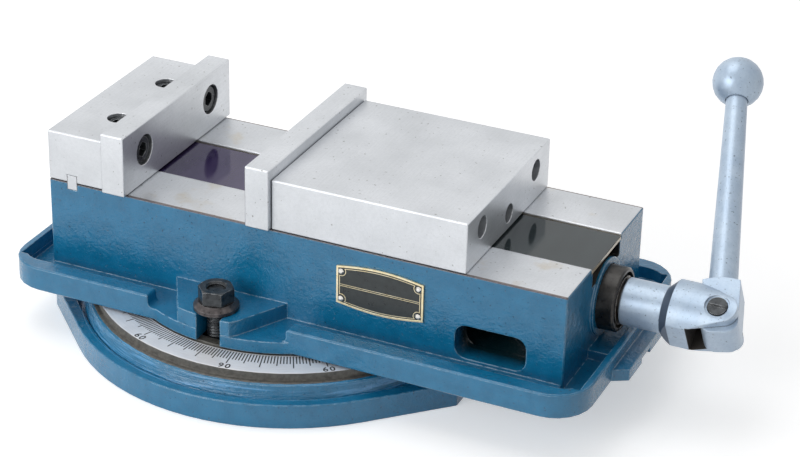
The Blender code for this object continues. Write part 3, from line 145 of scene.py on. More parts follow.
# Material nodes

def new_material(name, colour=(0.5, 0.5, 0.5), roughness=0.5, metallic=0.0):
    material = bpy.data.materials.new(name)
    material.use_nodes = True
    shader = material.node_tree.nodes["Principled BSDF"]
    shader.inputs["Base Color"].default_value = (*colour, 1)
    shader.inputs["Roughness"].default_value = roughness
    shader.inputs["Metallic"].default_value = metallic
    material.diffuse_color = (*colour, 1)
    return material, material.node_tree, shader


def plug(tree, value, socket):
    """Link a socket, or set a number or colour."""
    if isinstance(value, bpy.types.NodeSocket):
        tree.links.new(value, socket)
    elif isinstance(value, tuple) and len(value) == 3 and socket.type == "RGBA":
        socket.default_value = (*value, 1)
    else:
        socket.default_value = value


def calc(tree, operation, first, second=0.0, third=None):
    """One Math node."""
    node = tree.nodes.new("ShaderNodeMath")
    node.operation = operation
    plug(tree, first, node.inputs[0])
    plug(tree, second, node.inputs[1])
    if third is not None:
        plug(tree, third, node.inputs[2])
    return node.outputs[0]


def place(tree, stretch=(1, 1, 1)):
    """Object coordinates, stretched by a Mapping node."""
    coordinates = tree.nodes.new("ShaderNodeTexCoord")
    mapping = tree.nodes.new("ShaderNodeMapping")
    tree.links.new(coordinates.outputs["Object"], mapping.inputs["Vector"])
    mapping.inputs["Scale"].default_value = stretch
    return mapping.outputs["Vector"]


def axes(tree, vector=None):
    """X, Y and Z sockets of the object coordinates or of another vector."""
    split = tree.nodes.new("ShaderNodeSeparateXYZ")
    tree.links.new(vector or place(tree), split.inputs[0])
    return split.outputs[0], split.outputs[1], split.outputs[2]


def facing(tree):
    """X, Y and Z of the face's own normal."""
    geometry = tree.nodes.new("ShaderNodeNewGeometry")
    return axes(tree, geometry.outputs["True Normal"])


def noise(tree, vector, scale, detail=2.0, roughness=0.5, distortion=0.0):
    texture = tree.nodes.new("ShaderNodeTexNoise")
    plug(tree, vector, texture.inputs["Vector"])
    texture.inputs["Scale"].default_value = scale
    texture.inputs["Detail"].default_value = detail
    texture.inputs["Roughness"].default_value = roughness
    texture.inputs["Distortion"].default_value = distortion
    return texture.outputs[0]


def spread(tree, value, low, high, to_low=0.0, to_high=1.0, smooth=False):
    """Map a value from one range to another, held at the ends."""
    node = tree.nodes.new("ShaderNodeMapRange")
    node.interpolation_type = "SMOOTHSTEP" if smooth else "LINEAR"
    plug(tree, value, node.inputs["Value"])
    node.inputs["From Min"].default_value = low
    node.inputs["From Max"].default_value = high
    node.inputs["To Min"].default_value = to_low
    node.inputs["To Max"].default_value = to_high
    return node.outputs["Result"]


def above(tree, value, limit, soft=0.0001):
    """1 where the value is past the limit, else 0."""
    return spread(tree, value, limit - soft, limit + soft)


def inside(tree, value, low, high, soft=0.0001):
    """1 where the value lies between two limits, else 0."""
    below = spread(tree, value, high - soft, high + soft, 1.0, 0.0)
    return calc(tree, "MULTIPLY", above(tree, value, low, soft), below)


def both(tree, first, second):
    """Product of two masks, or of a mask and a strength."""
    return calc(tree, "MULTIPLY", first, second)


def length_of(tree, first, second):
    """Length of a vector with two parts."""
    squares = calc(tree, "ADD", calc(tree, "MULTIPLY", first, first), calc(tree, "MULTIPLY", second, second))
    return calc(tree, "SQRT", squares)


def blend(tree, factor, first, second):
    """Colour mix."""
    node = tree.nodes.new("ShaderNodeMix")
    node.data_type = "RGBA"
    plug(tree, factor, node.inputs["Factor"])
    plug(tree, first, node.inputs["A"])
    plug(tree, second, node.inputs["B"])
    return node.outputs["Result"]


def blend_value(tree, factor, first, second):
    """Number mix."""
    node = tree.nodes.new("ShaderNodeMix")
    node.data_type = "FLOAT"
    plug(tree, factor, node.inputs["Factor"])
    plug(tree, first, node.inputs["A"])
    plug(tree, second, node.inputs["B"])
    return node.outputs["Result"]


def emboss(tree, height, distance, strength=1.0, under=None):
    """Bump from a height of 0 to 1 and the distance in metres that 1 stands for."""
    node = tree.nodes.new("ShaderNodeBump")
    plug(tree, height, node.inputs["Height"])
    node.inputs["Distance"].default_value = distance
    plug(tree, strength, node.inputs["Strength"])
    if under is not None:
        tree.links.new(under, node.inputs["Normal"])
    return node.outputs["Normal"]


# Finishes

PAINT_LIGHT = (0.008, 0.170, 0.335)
PAINT_DEEP = (0.004, 0.142, 0.285)
PAINT_PIT = (0.004, 0.045, 0.085)
PAINT_WORN_AND_HIGHLIGHT = (0.330, 0.560, 0.740)
STEEL_PALE = (0.690, 0.710, 0.740)
STEEL_DULL = (0.560, 0.580, 0.605)
STEEL_SPECK = (0.240, 0.240, 0.230)
STEEL_STAIN = (0.520, 0.460, 0.360)
FILM_BROWN = (0.085, 0.045, 0.028)
SLOT_DEPTH_DARK = (0.030, 0.027, 0.024)
CAVITY_PAINTED_SHADE = (0.004, 0.030, 0.040)
SCALE_PALE = (0.82, 0.83, 0.86)
SCALE_DULL = (0.72, 0.73, 0.76)
STREAK_BLUE = (0.10, 0.34, 0.62)
RUBBED_EDGE_AND_HIGHLIGHT = (0.66, 0.68, 0.70)
SHEARED_EDGE = (0.62, 0.52, 0.38)
CONE_PAINTED_SHADE = (0.085, 0.115, 0.165)
CLEVIS_PAINTED_SHADE = (0.070, 0.062, 0.056)

PAINT_IOR = 1.6
PAINT_RELIEF = 0.00075
CAST_ROUND = 0.0016
FLOOR_GLOW = 0.44


def rounded(tree, radius):
    """Normal that rounds every edge, and a 0 to 1 line along those edges."""
    bevel = tree.nodes.new("ShaderNodeBevel")
    bevel.samples = 6
    bevel.inputs["Radius"].default_value = radius
    geometry = tree.nodes.new("ShaderNodeNewGeometry")
    agree = tree.nodes.new("ShaderNodeVectorMath")
    agree.operation = "DOT_PRODUCT"
    tree.links.new(bevel.outputs["Normal"], agree.inputs[0])
    tree.links.new(geometry.outputs["Normal"], agree.inputs[1])
    line = spread(tree, agree.outputs["Value"], 0.80, 0.955, 1.0, 0.0)
    return bevel.outputs["Normal"], line


def paint_look(tree):
    """Brushed-on gloss enamel over a cast skin: colour, roughness and normal sockets."""
    here = place(tree)
    tone = noise(tree, here, 90, 3)
    peel = noise(tree, here, 430, 3, 0.6, 0.6)
    lumps = noise(tree, here, 125, 3, 0.55)
    pits = spread(tree, noise(tree, here, 620, 1), 0.70, 0.76)
    turned_normal, line = rounded(tree, CAST_ROUND)
    edge_patches = spread(tree, noise(tree, here, 190, 3), 0.36, 0.56, smooth=True)
    colour = blend(tree, spread(tree, tone, 0.35, 0.65), PAINT_DEEP, PAINT_LIGHT)
    colour = blend(tree, both(tree, pits, 0.7), colour, PAINT_PIT)
    # pale lines along every edge, convex and concave: worn paint and painted highlight
    colour = blend(tree, both(tree, both(tree, line, edge_patches), 0.85), colour, PAINT_WORN_AND_HIGHLIGHT)
    roughness = spread(tree, lumps, 0.3, 0.7, 0.08, 0.18)
    height = calc(tree, "ADD", calc(tree, "MULTIPLY", peel, 0.9), lumps)
    height = calc(tree, "SUBTRACT", height, calc(tree, "MULTIPLY", pits, 0.4))
    return colour, roughness, height, turned_normal


def ground_look(tree, along, pale=STEEL_PALE, dull=STEEL_DULL):
    """Surface-ground steel with fine marks; along stretches the marks."""
    marks = noise(tree, place(tree, along), 1500, 3, 0.65)
    clouds = noise(tree, place(tree), 22, 3)
    grain = noise(tree, place(tree), 520, 2, 0.6)
    specks = spread(tree, noise(tree, place(tree), 430, 1), 0.72, 0.78)
    colour = blend(tree, spread(tree, clouds, 0.3, 0.7), dull, pale)
    colour = blend(tree, spread(tree, marks, 0.35, 0.75, 0.0, 0.18), colour, (0.45, 0.46, 0.47))
    colour = blend(tree, spread(tree, grain, 0.42, 0.72, 0.0, 0.20), colour, (0.42, 0.44, 0.46))
    colour = blend(tree, calc(tree, "MULTIPLY", specks, 0.8), colour, STEEL_SPECK)
    roughness = spread(tree, marks, 0.3, 0.7, 0.34, 0.46)
    return colour, roughness, marks


def body_finish():
    """Enamel on the casting; rails and cover slot ground, the slot darker towards its depth, the hollow
    painted darker as painted shade.
    """
    material, tree, shader = new_material("enamelled_body")
    paint, paint_rough, paint_height, turned_normal = paint_look(tree)
    steel, steel_rough, marks = ground_look(tree, (1, 0.04, 1))
    x, y, z = axes(tree)
    side = calc(tree, "ABSOLUTE", y)
    top = above(tree, z, RAIL_TOP - 0.00015, 0.00005)
    slot = both(tree, above(tree, z, RAIL_TOP - SLOT_DEPTH), inside(tree, side, -0.001, SLOT_HALF))
    slot = both(tree, slot, inside(tree, x, BODY_LOW.x, SLOT_END))
    bare = calc(tree, "MAXIMUM", top, slot)
    edge_out = spread(tree, side, BODY_SIDE - 0.0016, BODY_SIDE - 0.0002)
    patches = spread(tree, noise(tree, place(tree), 260, 3), 0.40, 0.60)
    film = both(tree, top, both(tree, edge_out, patches))
    skirt = inside(tree, z, RAIL_TOP - 0.0009, RAIL_TOP + 0.001)
    skirt = both(tree, skirt, above(tree, side, BODY_SIDE - 0.002))
    stains = spread(tree, noise(tree, place(tree), 34, 4, 0.6), 0.56, 0.74, smooth=True)
    colour = blend(tree, both(tree, bare, both(tree, stains, 0.55)), steel, STEEL_STAIN)
    # the hollow under the screw is painted darker: painted shade
    cavity_shade_mask = spread(tree, side, BODY_SIDE - 0.016, BODY_SIDE - 0.006, 1.0, 0.0)
    cavity_shade_mask = both(tree, cavity_shade_mask, inside(tree, x, BED_START + 0.006, CAVITY_END, 0.002))
    cavity_shade_mask = both(tree, cavity_shade_mask, above(tree, z, BODY_LOW.z + 0.004))
    paint = blend(tree, cavity_shade_mask, paint, CAVITY_PAINTED_SHADE)
    # the slot is coloured darker towards its depth
    deep = both(tree, slot, spread(tree, z, RAIL_TOP - 0.0062, RAIL_TOP - 0.0050, 1.0, 0.0))
    colour = blend(tree, both(tree, deep, 0.85), colour, SLOT_DEPTH_DARK)
    colour = blend(tree, bare, paint, colour)
    colour = blend(tree, calc(tree, "MAXIMUM", film, both(tree, skirt, 0.8)), colour, FILM_BROWN)
    plug(tree, colour, shader.inputs["Base Color"])
    plug(tree, blend_value(tree, bare, paint_rough, steel_rough), shader.inputs["Roughness"])
    plug(tree, bare, shader.inputs["Metallic"])
    height = blend_value(tree, bare, paint_height, calc(tree, "MULTIPLY", marks, 0.05))
    plug(tree, emboss(tree, height, PAINT_RELIEF, 0.65, turned_normal), shader.inputs["Normal"])
    shader.inputs["IOR"].default_value = PAINT_IOR
    return material


def base_finish():
    """Enamel on the base; the scale turned bright, its seat, T-slot, wall and step left dark."""
    material, tree, shader = new_material("enamelled_base")
    paint, paint_rough, paint_height, turned_normal = paint_look(tree)
    x, y, z = axes(tree)
    radius = length_of(tree, x, y)
    angle = calc(tree, "ARCTAN2", y, x)
    around = tree.nodes.new("ShaderNodeCombineXYZ")
    plug(tree, calc(tree, "MULTIPLY", angle, 0.007), around.inputs[0])
    plug(tree, radius, around.inputs[1])
    plug(tree, z, around.inputs[2])
    rings = noise(tree, around.outputs[0], 1300, 3, 0.6)
    streaks = noise(tree, around.outputs[0], 520, 3, 0.6)
    clouds = noise(tree, place(tree), 60, 3)
    bright = blend(tree, spread(tree, clouds, 0.3, 0.7), SCALE_DULL, SCALE_PALE)
    bright = blend(tree, spread(tree, rings, 0.40, 0.70, 0.0, 0.22), bright, (0.50, 0.51, 0.53))
    turned_part = inside(tree, radius, SEAT_INNER, SCALE_OUTER + 0.0001)
    turned_part = both(tree, turned_part, above(tree, z, SLOT_LOW))
    scale = both(tree, turned_part, above(tree, z, SCALE_FACE - 0.0002))
    scale = both(tree, scale, above(tree, radius, TICK_INNER - 0.0008, 0.0003))
    # the seat, T-slot, wall, step and the scale face inside the ticks are coloured dark
    step = both(tree, inside(tree, radius, SCALE_OUTER - 0.0003, STEP_OUTER), above(tree, z, STEP_LOW))
    step = calc(tree, "MAXIMUM", step, turned_part)
    grime = spread(tree, noise(tree, place(tree), 300, 4, 0.6), 0.35, 0.65)
    dark_step = blend(tree, grime, (0.050, 0.047, 0.040), (0.110, 0.105, 0.092))
    cone = both(tree, inside(tree, radius, STEP_OUTER, CONE_OUTER), above(tree, z, CONE_LOW))
    streak_line = both(tree, cone, spread(tree, streaks, 0.52, 0.66, 0.0, 0.75))
    colour = blend(tree, streak_line, paint, STREAK_BLUE)
    colour = blend(tree, step, colour, dark_step)
    colour = blend(tree, scale, colour, bright)
    plug(tree, colour, shader.inputs["Base Color"])
    rough = blend_value(tree, scale, paint_rough, spread(tree, clouds, 0.3, 0.7, 0.40, 0.50))
    plug(tree, blend_value(tree, step, rough, 0.5), shader.inputs["Roughness"])
    plug(tree, calc(tree, "MULTIPLY", scale, 0.35), shader.inputs["Metallic"])
    height = blend_value(tree, scale, paint_height, calc(tree, "MULTIPLY", rings, 0.04))
    height = calc(tree, "ADD", height, both(tree, cone, calc(tree, "MULTIPLY", streaks, 1.3)))
    plug(tree, emboss(tree, height, PAINT_RELIEF, 0.65, turned_normal), shader.inputs["Normal"])
    shader.inputs["IOR"].default_value = PAINT_IOR
    return material


def ground_finish(name, along, pale=STEEL_PALE, dull=STEEL_DULL, edge=(0.90, 0.91, 0.93)):
    """Ground steel with fine broken edges, coloured along every edge, pale by default as wear and painted
    highlight; dark specks sit in the grain.
    """
    material, tree, shader = new_material(name, metallic=1.0)
    colour, roughness, marks = ground_look(tree, along, pale, dull)
    turned_normal, line = rounded(tree, 0.0007)
    edge_breakup = spread(tree, noise(tree, place(tree), 240, 3), 0.30, 0.55)
    # the edge colour along every edge: pale lines are wear and painted highlight, the key's dark line is
    # painted shade
    colour = blend(tree, calc(tree, "MULTIPLY", both(tree, line, edge_breakup), 0.75), colour, edge)
    plug(tree, colour, shader.inputs["Base Color"])
    plug(tree, roughness, shader.inputs["Roughness"])
    plug(tree, emboss(tree, marks, 0.000014, 0.6, turned_normal), shader.inputs["Normal"])
    return material


def oxide_finish(name="black_oxide", deep=(0.020, 0.023, 0.026), lit=(0.070, 0.076, 0.082), rubbed_and_highlit=0.8):
    """Black oxide with lighter edges, partly rubbed and partly painted highlight, and a trace of oil."""
    material, tree, shader = new_material(name, metallic=0.55)
    grime = noise(tree, place(tree), 240, 4, 0.6)
    turned_normal, line = rounded(tree, 0.0006)
    colour = blend(tree, spread(tree, grime, 0.35, 0.7), deep, lit)
    # pale lines along every edge: rubbed metal and painted highlight
    worn_and_highlit = both(tree, line, spread(tree, grime, 0.30, 0.55))
    colour = blend(tree, calc(tree, "MULTIPLY", worn_and_highlit, rubbed_and_highlit), colour, RUBBED_EDGE_AND_HIGHLIGHT)
    plug(tree, colour, shader.inputs["Base Color"])
    plug(tree, spread(tree, grime, 0.3, 0.7, 0.24, 0.40), shader.inputs["Roughness"])
    plug(tree, emboss(tree, grime, 0.00006, 0.5, turned_normal), shader.inputs["Normal"])
    return material


def cover_finish(name, deep, lit):
    """Polished dark sheet with a bright sheared edge."""
    material, tree, shader = new_material(name, metallic=0.15)
    haze = noise(tree, place(tree, (1, 0.4, 1)), 60, 3)
    _, _, up = facing(tree)
    _, line = rounded(tree, 0.0007)
    edge = calc(tree, "MAXIMUM", spread(tree, up, 0.3, 0.7, 1.0, 0.0), both(tree, line, 0.7))
    colour = blend(tree, spread(tree, haze, 0.3, 0.7), deep, lit)
    colour = blend(tree, edge, colour, SHEARED_EDGE)
    plug(tree, colour, shader.inputs["Base Color"])
    plug(tree, spread(tree, haze, 0.3, 0.7, 0.06, 0.12), shader.inputs["Roughness"])
    fine = noise(tree, place(tree), 700, 2)
    plug(tree, emboss(tree, fine, 0.000005, 0.5), shader.inputs["Normal"])
    return material


def crank_finish(name, is_hub=False):
    """Silver-blue paint over a slightly rough forging; the hub's cone and clevis slot are darkened as painted
    shade.
    """
    material, tree, shader = new_material(name, metallic=0.35)
    here = place(tree)
    grain = noise(tree, here, 620, 3, 0.6)
    pits = spread(tree, noise(tree, here, 640, 2), 0.66, 0.72)
    tone = noise(tree, here, 60, 4, 0.6)
    turned_normal, line = rounded(tree, 0.0008)
    colour = blend(tree, spread(tree, tone, 0.3, 0.7), (0.36, 0.46, 0.59), (0.50, 0.60, 0.71))
    colour = blend(tree, spread(tree, grain, 0.45, 0.70, 0.0, 0.30), colour, (0.30, 0.40, 0.52))
    colour = blend(tree, calc(tree, "MULTIPLY", pits, 0.75), colour, (0.10, 0.12, 0.15))
    # pale lines along every edge: worn paint and painted highlight
    colour = blend(tree, calc(tree, "MULTIPLY", line, 0.5), colour, (0.74, 0.80, 0.86))
    if is_hub:
        x, y, z = axes(tree)
        # the cone band is painted darker: painted shade
        cone = inside(tree, x, HUB_CONE_START, HUB_CONE_END, 0.0002)
        colour = blend(tree, cone, colour, CONE_PAINTED_SHADE)
        # inside the clevis slot the colour is darker: painted shade
        across = calc(tree, "MULTIPLY", y, -math.sin(CRANK_LEAN))
        rise = calc(tree, "SUBTRACT", z, SCREW_Z)
        across = calc(tree, "ABSOLUTE", calc(tree, "MULTIPLY_ADD", rise, math.cos(CRANK_LEAN), across))
        slot = spread(tree, across, CLEVIS_HALF + 0.0001, CLEVIS_HALF + 0.0002, 1.0, 0.0)
        slot = both(tree, slot, above(tree, x, CLEVIS_FLOOR))
        colour = blend(tree, slot, colour, CLEVIS_PAINTED_SHADE)
    plug(tree, colour, shader.inputs["Base Color"])
    plug(tree, spread(tree, tone, 0.3, 0.7, 0.28, 0.40), shader.inputs["Roughness"])
    height = calc(tree, "SUBTRACT", grain, calc(tree, "MULTIPLY", pits, 0.8))
    plug(tree, emboss(tree, height, 0.00010, 0.45, turned_normal), shader.inputs["Normal"])
    return material


def thread_finish():
    """Turned steel with the lead thread round the X axis, in colour and bump only."""
    material, tree, shader = new_material("lead_thread", (0.50, 0.50, 0.49), 0.35, 1.0)
    x, y, z = axes(tree)
    angle = calc(tree, "ARCTAN2", y, calc(tree, "SUBTRACT", z, SCREW_Z))
    turn = calc(tree, "DIVIDE", angle, math.tau)
    phase = calc(tree, "FRACT", calc(tree, "ADD", calc(tree, "DIVIDE", x, SCREW_PITCH), turn))
    flank = calc(tree, "ABSOLUTE", calc(tree, "SUBTRACT", phase, 0.5))
    cut = both(tree, spread(tree, flank, 0.12, 0.38), inside(tree, x, SCREW_LOW.x, THREAD_END))
    oil = noise(tree, place(tree), 160, 3)
    colour = blend(tree, spread(tree, oil, 0.3, 0.7), (0.36, 0.35, 0.33), (0.56, 0.56, 0.55))
    # the groove of the thread is painted darker: painted shade
    colour = blend(tree, cut, colour, (0.16, 0.15, 0.14))
    plug(tree, colour, shader.inputs["Base Color"])
    plug(tree, spread(tree, oil, 0.3, 0.7, 0.26, 0.40), shader.inputs["Roughness"])
    plug(tree, emboss(tree, calc(tree, "SUBTRACT", 1.0, cut), 0.0012, 0.9), shader.inputs["Normal"])
    return material


def brass_finish(name="satin_brass", deep=(0.62, 0.43, 0.20), lit=(0.80, 0.62, 0.34)):
    material, tree, shader = new_material(name, metallic=1.0)
    tone = noise(tree, place(tree), 160, 3)
    plug(tree, blend(tree, spread(tree, tone, 0.3, 0.7), deep, lit), shader.inputs["Base Color"])
    plug(tree, spread(tree, tone, 0.3, 0.7, 0.22, 0.38), shader.inputs["Roughness"])
    plug(tree, emboss(tree, tone, 0.00003, 0.5), shader.inputs["Normal"])
    return material


def nameplate_finish():
    """Bare black field, brass rim, a thin line inside it that steps round the rivets, and two rules."""
    material, tree, shader = new_material("nameplate_black_and_brass")
    x, _, z = axes(tree)
    centre = (PLATE_LOW + PLATE_HIGH) / 2
    rivet_low, rivet_high = (Vector(corner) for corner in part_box("nameplate_rivet_1"))
    rivet = (rivet_low + rivet_high) / 2
    along = calc(tree, "ABSOLUTE", calc(tree, "SUBTRACT", x, centre.x))
    rise = calc(tree, "ABSOLUTE", calc(tree, "SUBTRACT", z, centre.z))
    half_length = (PLATE_HIGH.x - PLATE_LOW.x) / 2
    end_height = (PLATE_HIGH.z - PLATE_LOW.z) / 2 - PLATE_BOW
    bow = calc(tree, "COSINE", calc(tree, "MULTIPLY", along, math.pi / 2 / half_length))
    top = calc(tree, "ADD", calc(tree, "MULTIPLY", bow, PLATE_BOW), end_height)
    from_end = calc(tree, "SUBTRACT", half_length, along)
    depth = calc(tree, "MINIMUM", calc(tree, "SUBTRACT", top, rise), from_end)
    off_x = calc(tree, "SUBTRACT", along, abs(rivet.x - centre.x))
    off_z = calc(tree, "SUBTRACT", rise, abs(rivet.z - centre.z))
    from_rivet = calc(tree, "SUBTRACT", length_of(tree, off_x, off_z), RIVET_MARGIN)
    field = calc(tree, "MINIMUM", calc(tree, "SUBTRACT", depth, PLATE_LINE), from_rivet)
    line = spread(tree, calc(tree, "ABSOLUTE", field), 0.00018, 0.00032, 1.0, 0.0)
    rim = spread(tree, depth, PLATE_RIM - 0.00015, PLATE_RIM + 0.00015, 1.0, 0.0)
    rule = inside(tree, rise, RULE_RISE - 0.0002, RULE_RISE + 0.0002)
    rule_end = half_length - RULE_INSET
    rule = both(tree, rule, spread(tree, along, rule_end - 0.0002, rule_end + 0.0002, 1.0, 0.0))
    metal = calc(tree, "MAXIMUM", calc(tree, "MAXIMUM", line, rim), rule)
    tone = noise(tree, place(tree), 240, 3)
    black = blend(tree, spread(tree, tone, 0.3, 0.7), (0.016, 0.021, 0.022), (0.030, 0.037, 0.038))
    brass = blend(tree, spread(tree, tone, 0.3, 0.7), (0.80, 0.66, 0.38), (0.95, 0.86, 0.62))
    plug(tree, blend(tree, metal, black, brass), shader.inputs["Base Color"])
    plug(tree, calc(tree, "MULTIPLY", metal, 0.7), shader.inputs["Metallic"])
    plug(tree, spread(tree, tone, 0.3, 0.7, 0.26, 0.38), shader.inputs["Roughness"])
    plug(tree, emboss(tree, metal, 0.00025, 0.8), shader.inputs["Normal"])
    return material


def ink_finish():
    material, tree, shader = new_material("scale_ink")
    tone = noise(tree, place(tree), 500, 2)
    plug(tree, blend(tree, tone, (0.006, 0.006, 0.006), (0.030, 0.027, 0.024)), shader.inputs["Base Color"])
    shader.inputs["Roughness"].default_value = 0.6
    return material


BODY = body_finish()
BASE = base_finish()
GROUND_CROSS = ground_finish("ground_steel_cross", (1, 0.03, 1))
TURNED = ground_finish("turned_steel", (0.3, 1, 1), (0.60, 0.60, 0.59), (0.42, 0.42, 0.41))
# the key's edges are coloured dark brown: painted shade of the gaps round it
KEY_STEEL = ground_finish("key_steel", (1, 0.2, 1), edge=(0.060, 0.038, 0.026))
OXIDE = oxide_finish()
HOUSING_BLACK = oxide_finish("housing_black", (0.018, 0.017, 0.016), (0.050, 0.047, 0.044), 0.25)
WASHER_STEEL = oxide_finish("tempered_washer", (0.034, 0.030, 0.030), (0.120, 0.105, 0.105), 0.55)
RING_BRONZE = oxide_finish("ring_bronze", (0.030, 0.022, 0.016), (0.120, 0.085, 0.055), 0.8)
REAR_SHEET = cover_finish("rear_cover_sheet", (0.030, 0.020, 0.075), (0.055, 0.040, 0.105))
FRONT_SHEET = cover_finish("front_cover_sheet", (0.024, 0.034, 0.038), (0.036, 0.050, 0.054))
CRANK = crank_finish("silver_crank_paint")
HUB = crank_finish("silver_hub_paint", is_hub=True)
BRASS = brass_finish()
RIVET_NICKEL = brass_finish("rivet_nickel", (0.66, 0.64, 0.60), (0.86, 0.84, 0.80))
NAMEPLATE = nameplate_finish()
LEAD_THREAD = thread_finish()
INK = ink_finish()

NODE_FINISH = {
    "vise_body": BODY, "swivel_base": BASE, "fixed_jaw": GROUND_CROSS, "movable_jaw": GROUND_CROSS,
    "fixed_jaw_plate": GROUND_CROSS, "movable_jaw_plate": GROUND_CROSS, "rear_cover": REAR_SHEET,
    "front_cover": FRONT_SHEET, "crank_hub": HUB, "crank_lever": CRANK, "ball_knob": CRANK,
    "fixed_jaw_key": KEY_STEEL, "thrust_cage": BRASS, "retaining_ring": RING_BRONZE,
    "nameplate": NAMEPLATE, "bearing_housing": HOUSING_BLACK,
    "crank_pin": OXIDE, "jaw_set_screw": OXIDE, "clamp_washer_near": WASHER_STEEL,
    "clamp_washer_far": WASHER_STEEL, "lead_screw": LEAD_THREAD,
}
SLOT_FINISH = {"black_oxide_steel": OXIDE, "turned_steel": TURNED, "brass": BRASS}


def dress_nodes():
    """Give every CAD node its finish by name, or else by its material slot."""
    slots = {entry["node"]: entry["material_slot"] for entry in record["subparts"]}
    for name, obj in nodes.items():
        finish = NODE_FINISH.get(name) or SLOT_FINISH[slots[name]]
        if name.startswith("nameplate_rivet"):
            finish = RIVET_NICKEL
        obj.data.materials.clear()
        obj.data.materials.append(finish)


# Smooth-shaded copies of the turned and cast pieces

MERGE_DISTANCE = 0.000005
SMOOTH_ANGLE = math.radians(32)

ROUND_NODES = (
    "vise_body", "swivel_base", "crank_hub", "crank_lever", "ball_knob", "bearing_housing", "retaining_ring",
    "clamp_washer_near", "clamp_washer_far", "crank_pin", "nameplate_rivet_1", "nameplate_rivet_2",
    "nameplate_rivet_3", "nameplate_rivet_4")


def smooth_copy(name):
    """A merged copy of a node, shaded smooth across its shallow facets, standing for the node."""
    node = nodes[name]
    piece = node.copy()
    piece.data = node.data.copy()
    piece.parent = None
    piece.matrix_world = Matrix.Identity(4)
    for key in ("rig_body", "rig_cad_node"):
        if key in piece:
            del piece[key]
    bpy.context.scene.collection.objects.link(piece)
    piece.name = name + "_smooth"
    piece.data.name = name + "_smooth"
    deselect()
    piece.select_set(True)
    bpy.context.view_layer.objects.active = piece
    if piece.data.has_custom_normals:
        bpy.ops.mesh.customdata_custom_splitnormals_clear()
    bpy.ops.object.mode_set(mode="EDIT")
    bpy.ops.mesh.select_all(action="SELECT")
    bpy.ops.mesh.remove_doubles(threshold=MERGE_DISTANCE)
    bpy.ops.object.mode_set(mode="OBJECT")
    bpy.ops.object.shade_smooth_by_angle(angle=SMOOTH_ANGLE)
    weighted = piece.modifiers.new("weighted_normals", "WEIGHTED_NORMAL")
    weighted.keep_sharp = True
    bpy.ops.object.modifier_apply(modifier=weighted.name)
    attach(piece, node["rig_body"])
    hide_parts(name)


# Threads of the clamp studs

def make_stud_threads():
    """Ring threads on each clamp stud between the base and the washer."""
    low, high = (Vector(corner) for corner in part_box("clamp_bolt_near"))
    washer_low = Vector(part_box("clamp_washer_near")[0])
    turns = ((0.3, STUD_CREST / STUD_ROOT), (0.2, 1), (0.3, STUD_ROOT / STUD_CREST), (0.2, 1))
    for side, name in ((1, "near"), (-1, "far")):
        deselect()
        middle = (low + high) / 2
        spot = (middle.x, middle.y * side, SCALE_FACE + STUD_START)
        bpy.ops.mesh.primitive_circle_add(
            vertices=STUD_SIDES, radius=STUD_ROOT, fill_type="NGON", location=spot)
        bpy.ops.object.mode_set(mode="EDIT")
        count = int((washer_low.z - STUD_CLEARANCE - spot[2]) / STUD_PITCH)
        for _ in range(count):
            for rise, grow in turns:
                bpy.ops.mesh.extrude_region_move(
                    TRANSFORM_OT_translate={"value": (0, 0, rise * STUD_PITCH)})
                bpy.ops.transform.resize(value=(grow, grow, 1), center_override=(spot[0], spot[1], 0))
        bpy.ops.mesh.select_all(action="SELECT")
        bpy.ops.mesh.normals_make_consistent(inside=False)
        bpy.ops.object.mode_set(mode="OBJECT")
        thread = bpy.context.object
        bpy.ops.object.transform_apply(location=True, rotation=True, scale=True)
        thread.name = "stud_thread_" + name
        thread.data.name = thread.name
        thread.data.materials.append(OXIDE)
        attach(thread, "body")


# Degree scale

def scale_tick(angle, outer):
    """One filled tick, pointing outwards."""
    deselect()
    middle = (TICK_INNER + outer) / 2
    turn = math.radians(angle)
    spot = (middle * math.cos(turn), middle * math.sin(turn), SCALE_FACE + TICK_DEPTH / 2)
    bpy.ops.mesh.primitive_cube_add(size=1, location=spot, rotation=(0, 0, turn))
    tick = bpy.context.object
    tick.scale = (outer - TICK_INNER, TICK_WIDTH, TICK_DEPTH)
    return tick


def scale_digit(text, angle, shift):
    """One engraved digit beside its tick, its top towards the swivel axis."""
    deselect()
    turn = math.radians(angle)
    along = Vector((-math.sin(turn), math.cos(turn), 0)) * shift
    spot = Vector((NUMERAL_RADIUS * math.cos(turn), NUMERAL_RADIUS * math.sin(turn), SCALE_FACE)) + along
    bpy.ops.object.text_add(location=spot, rotation=(0, 0, turn + math.pi / 2))
    digit = bpy.context.object
    digit.data.body = text
    digit.data.size = NUMERAL_SIZE
    digit.data.align_x = "CENTER"
    digit.data.align_y = "CENTER"
    digit.data.extrude = TICK_DEPTH
    digit.data.offset = NUMERAL_WEIGHT
    bpy.ops.object.convert(target="MESH")
    return bpy.context.object


def join_pieces(pieces, name, body, finish):
    """Join loose pieces into one, with its place in its mesh, riding on a body."""
    deselect()
    for piece in pieces:
        piece.select_set(True)
    bpy.context.view_layer.objects.active = pieces[0]
    bpy.ops.object.join()
    joined = bpy.context.object
    bpy.ops.object.transform_apply(location=True, rotation=True, scale=True)
    joined.name = name
    joined.data.name = name
    joined.data.materials.clear()
    joined.data.materials.append(finish)
    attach(joined, body)


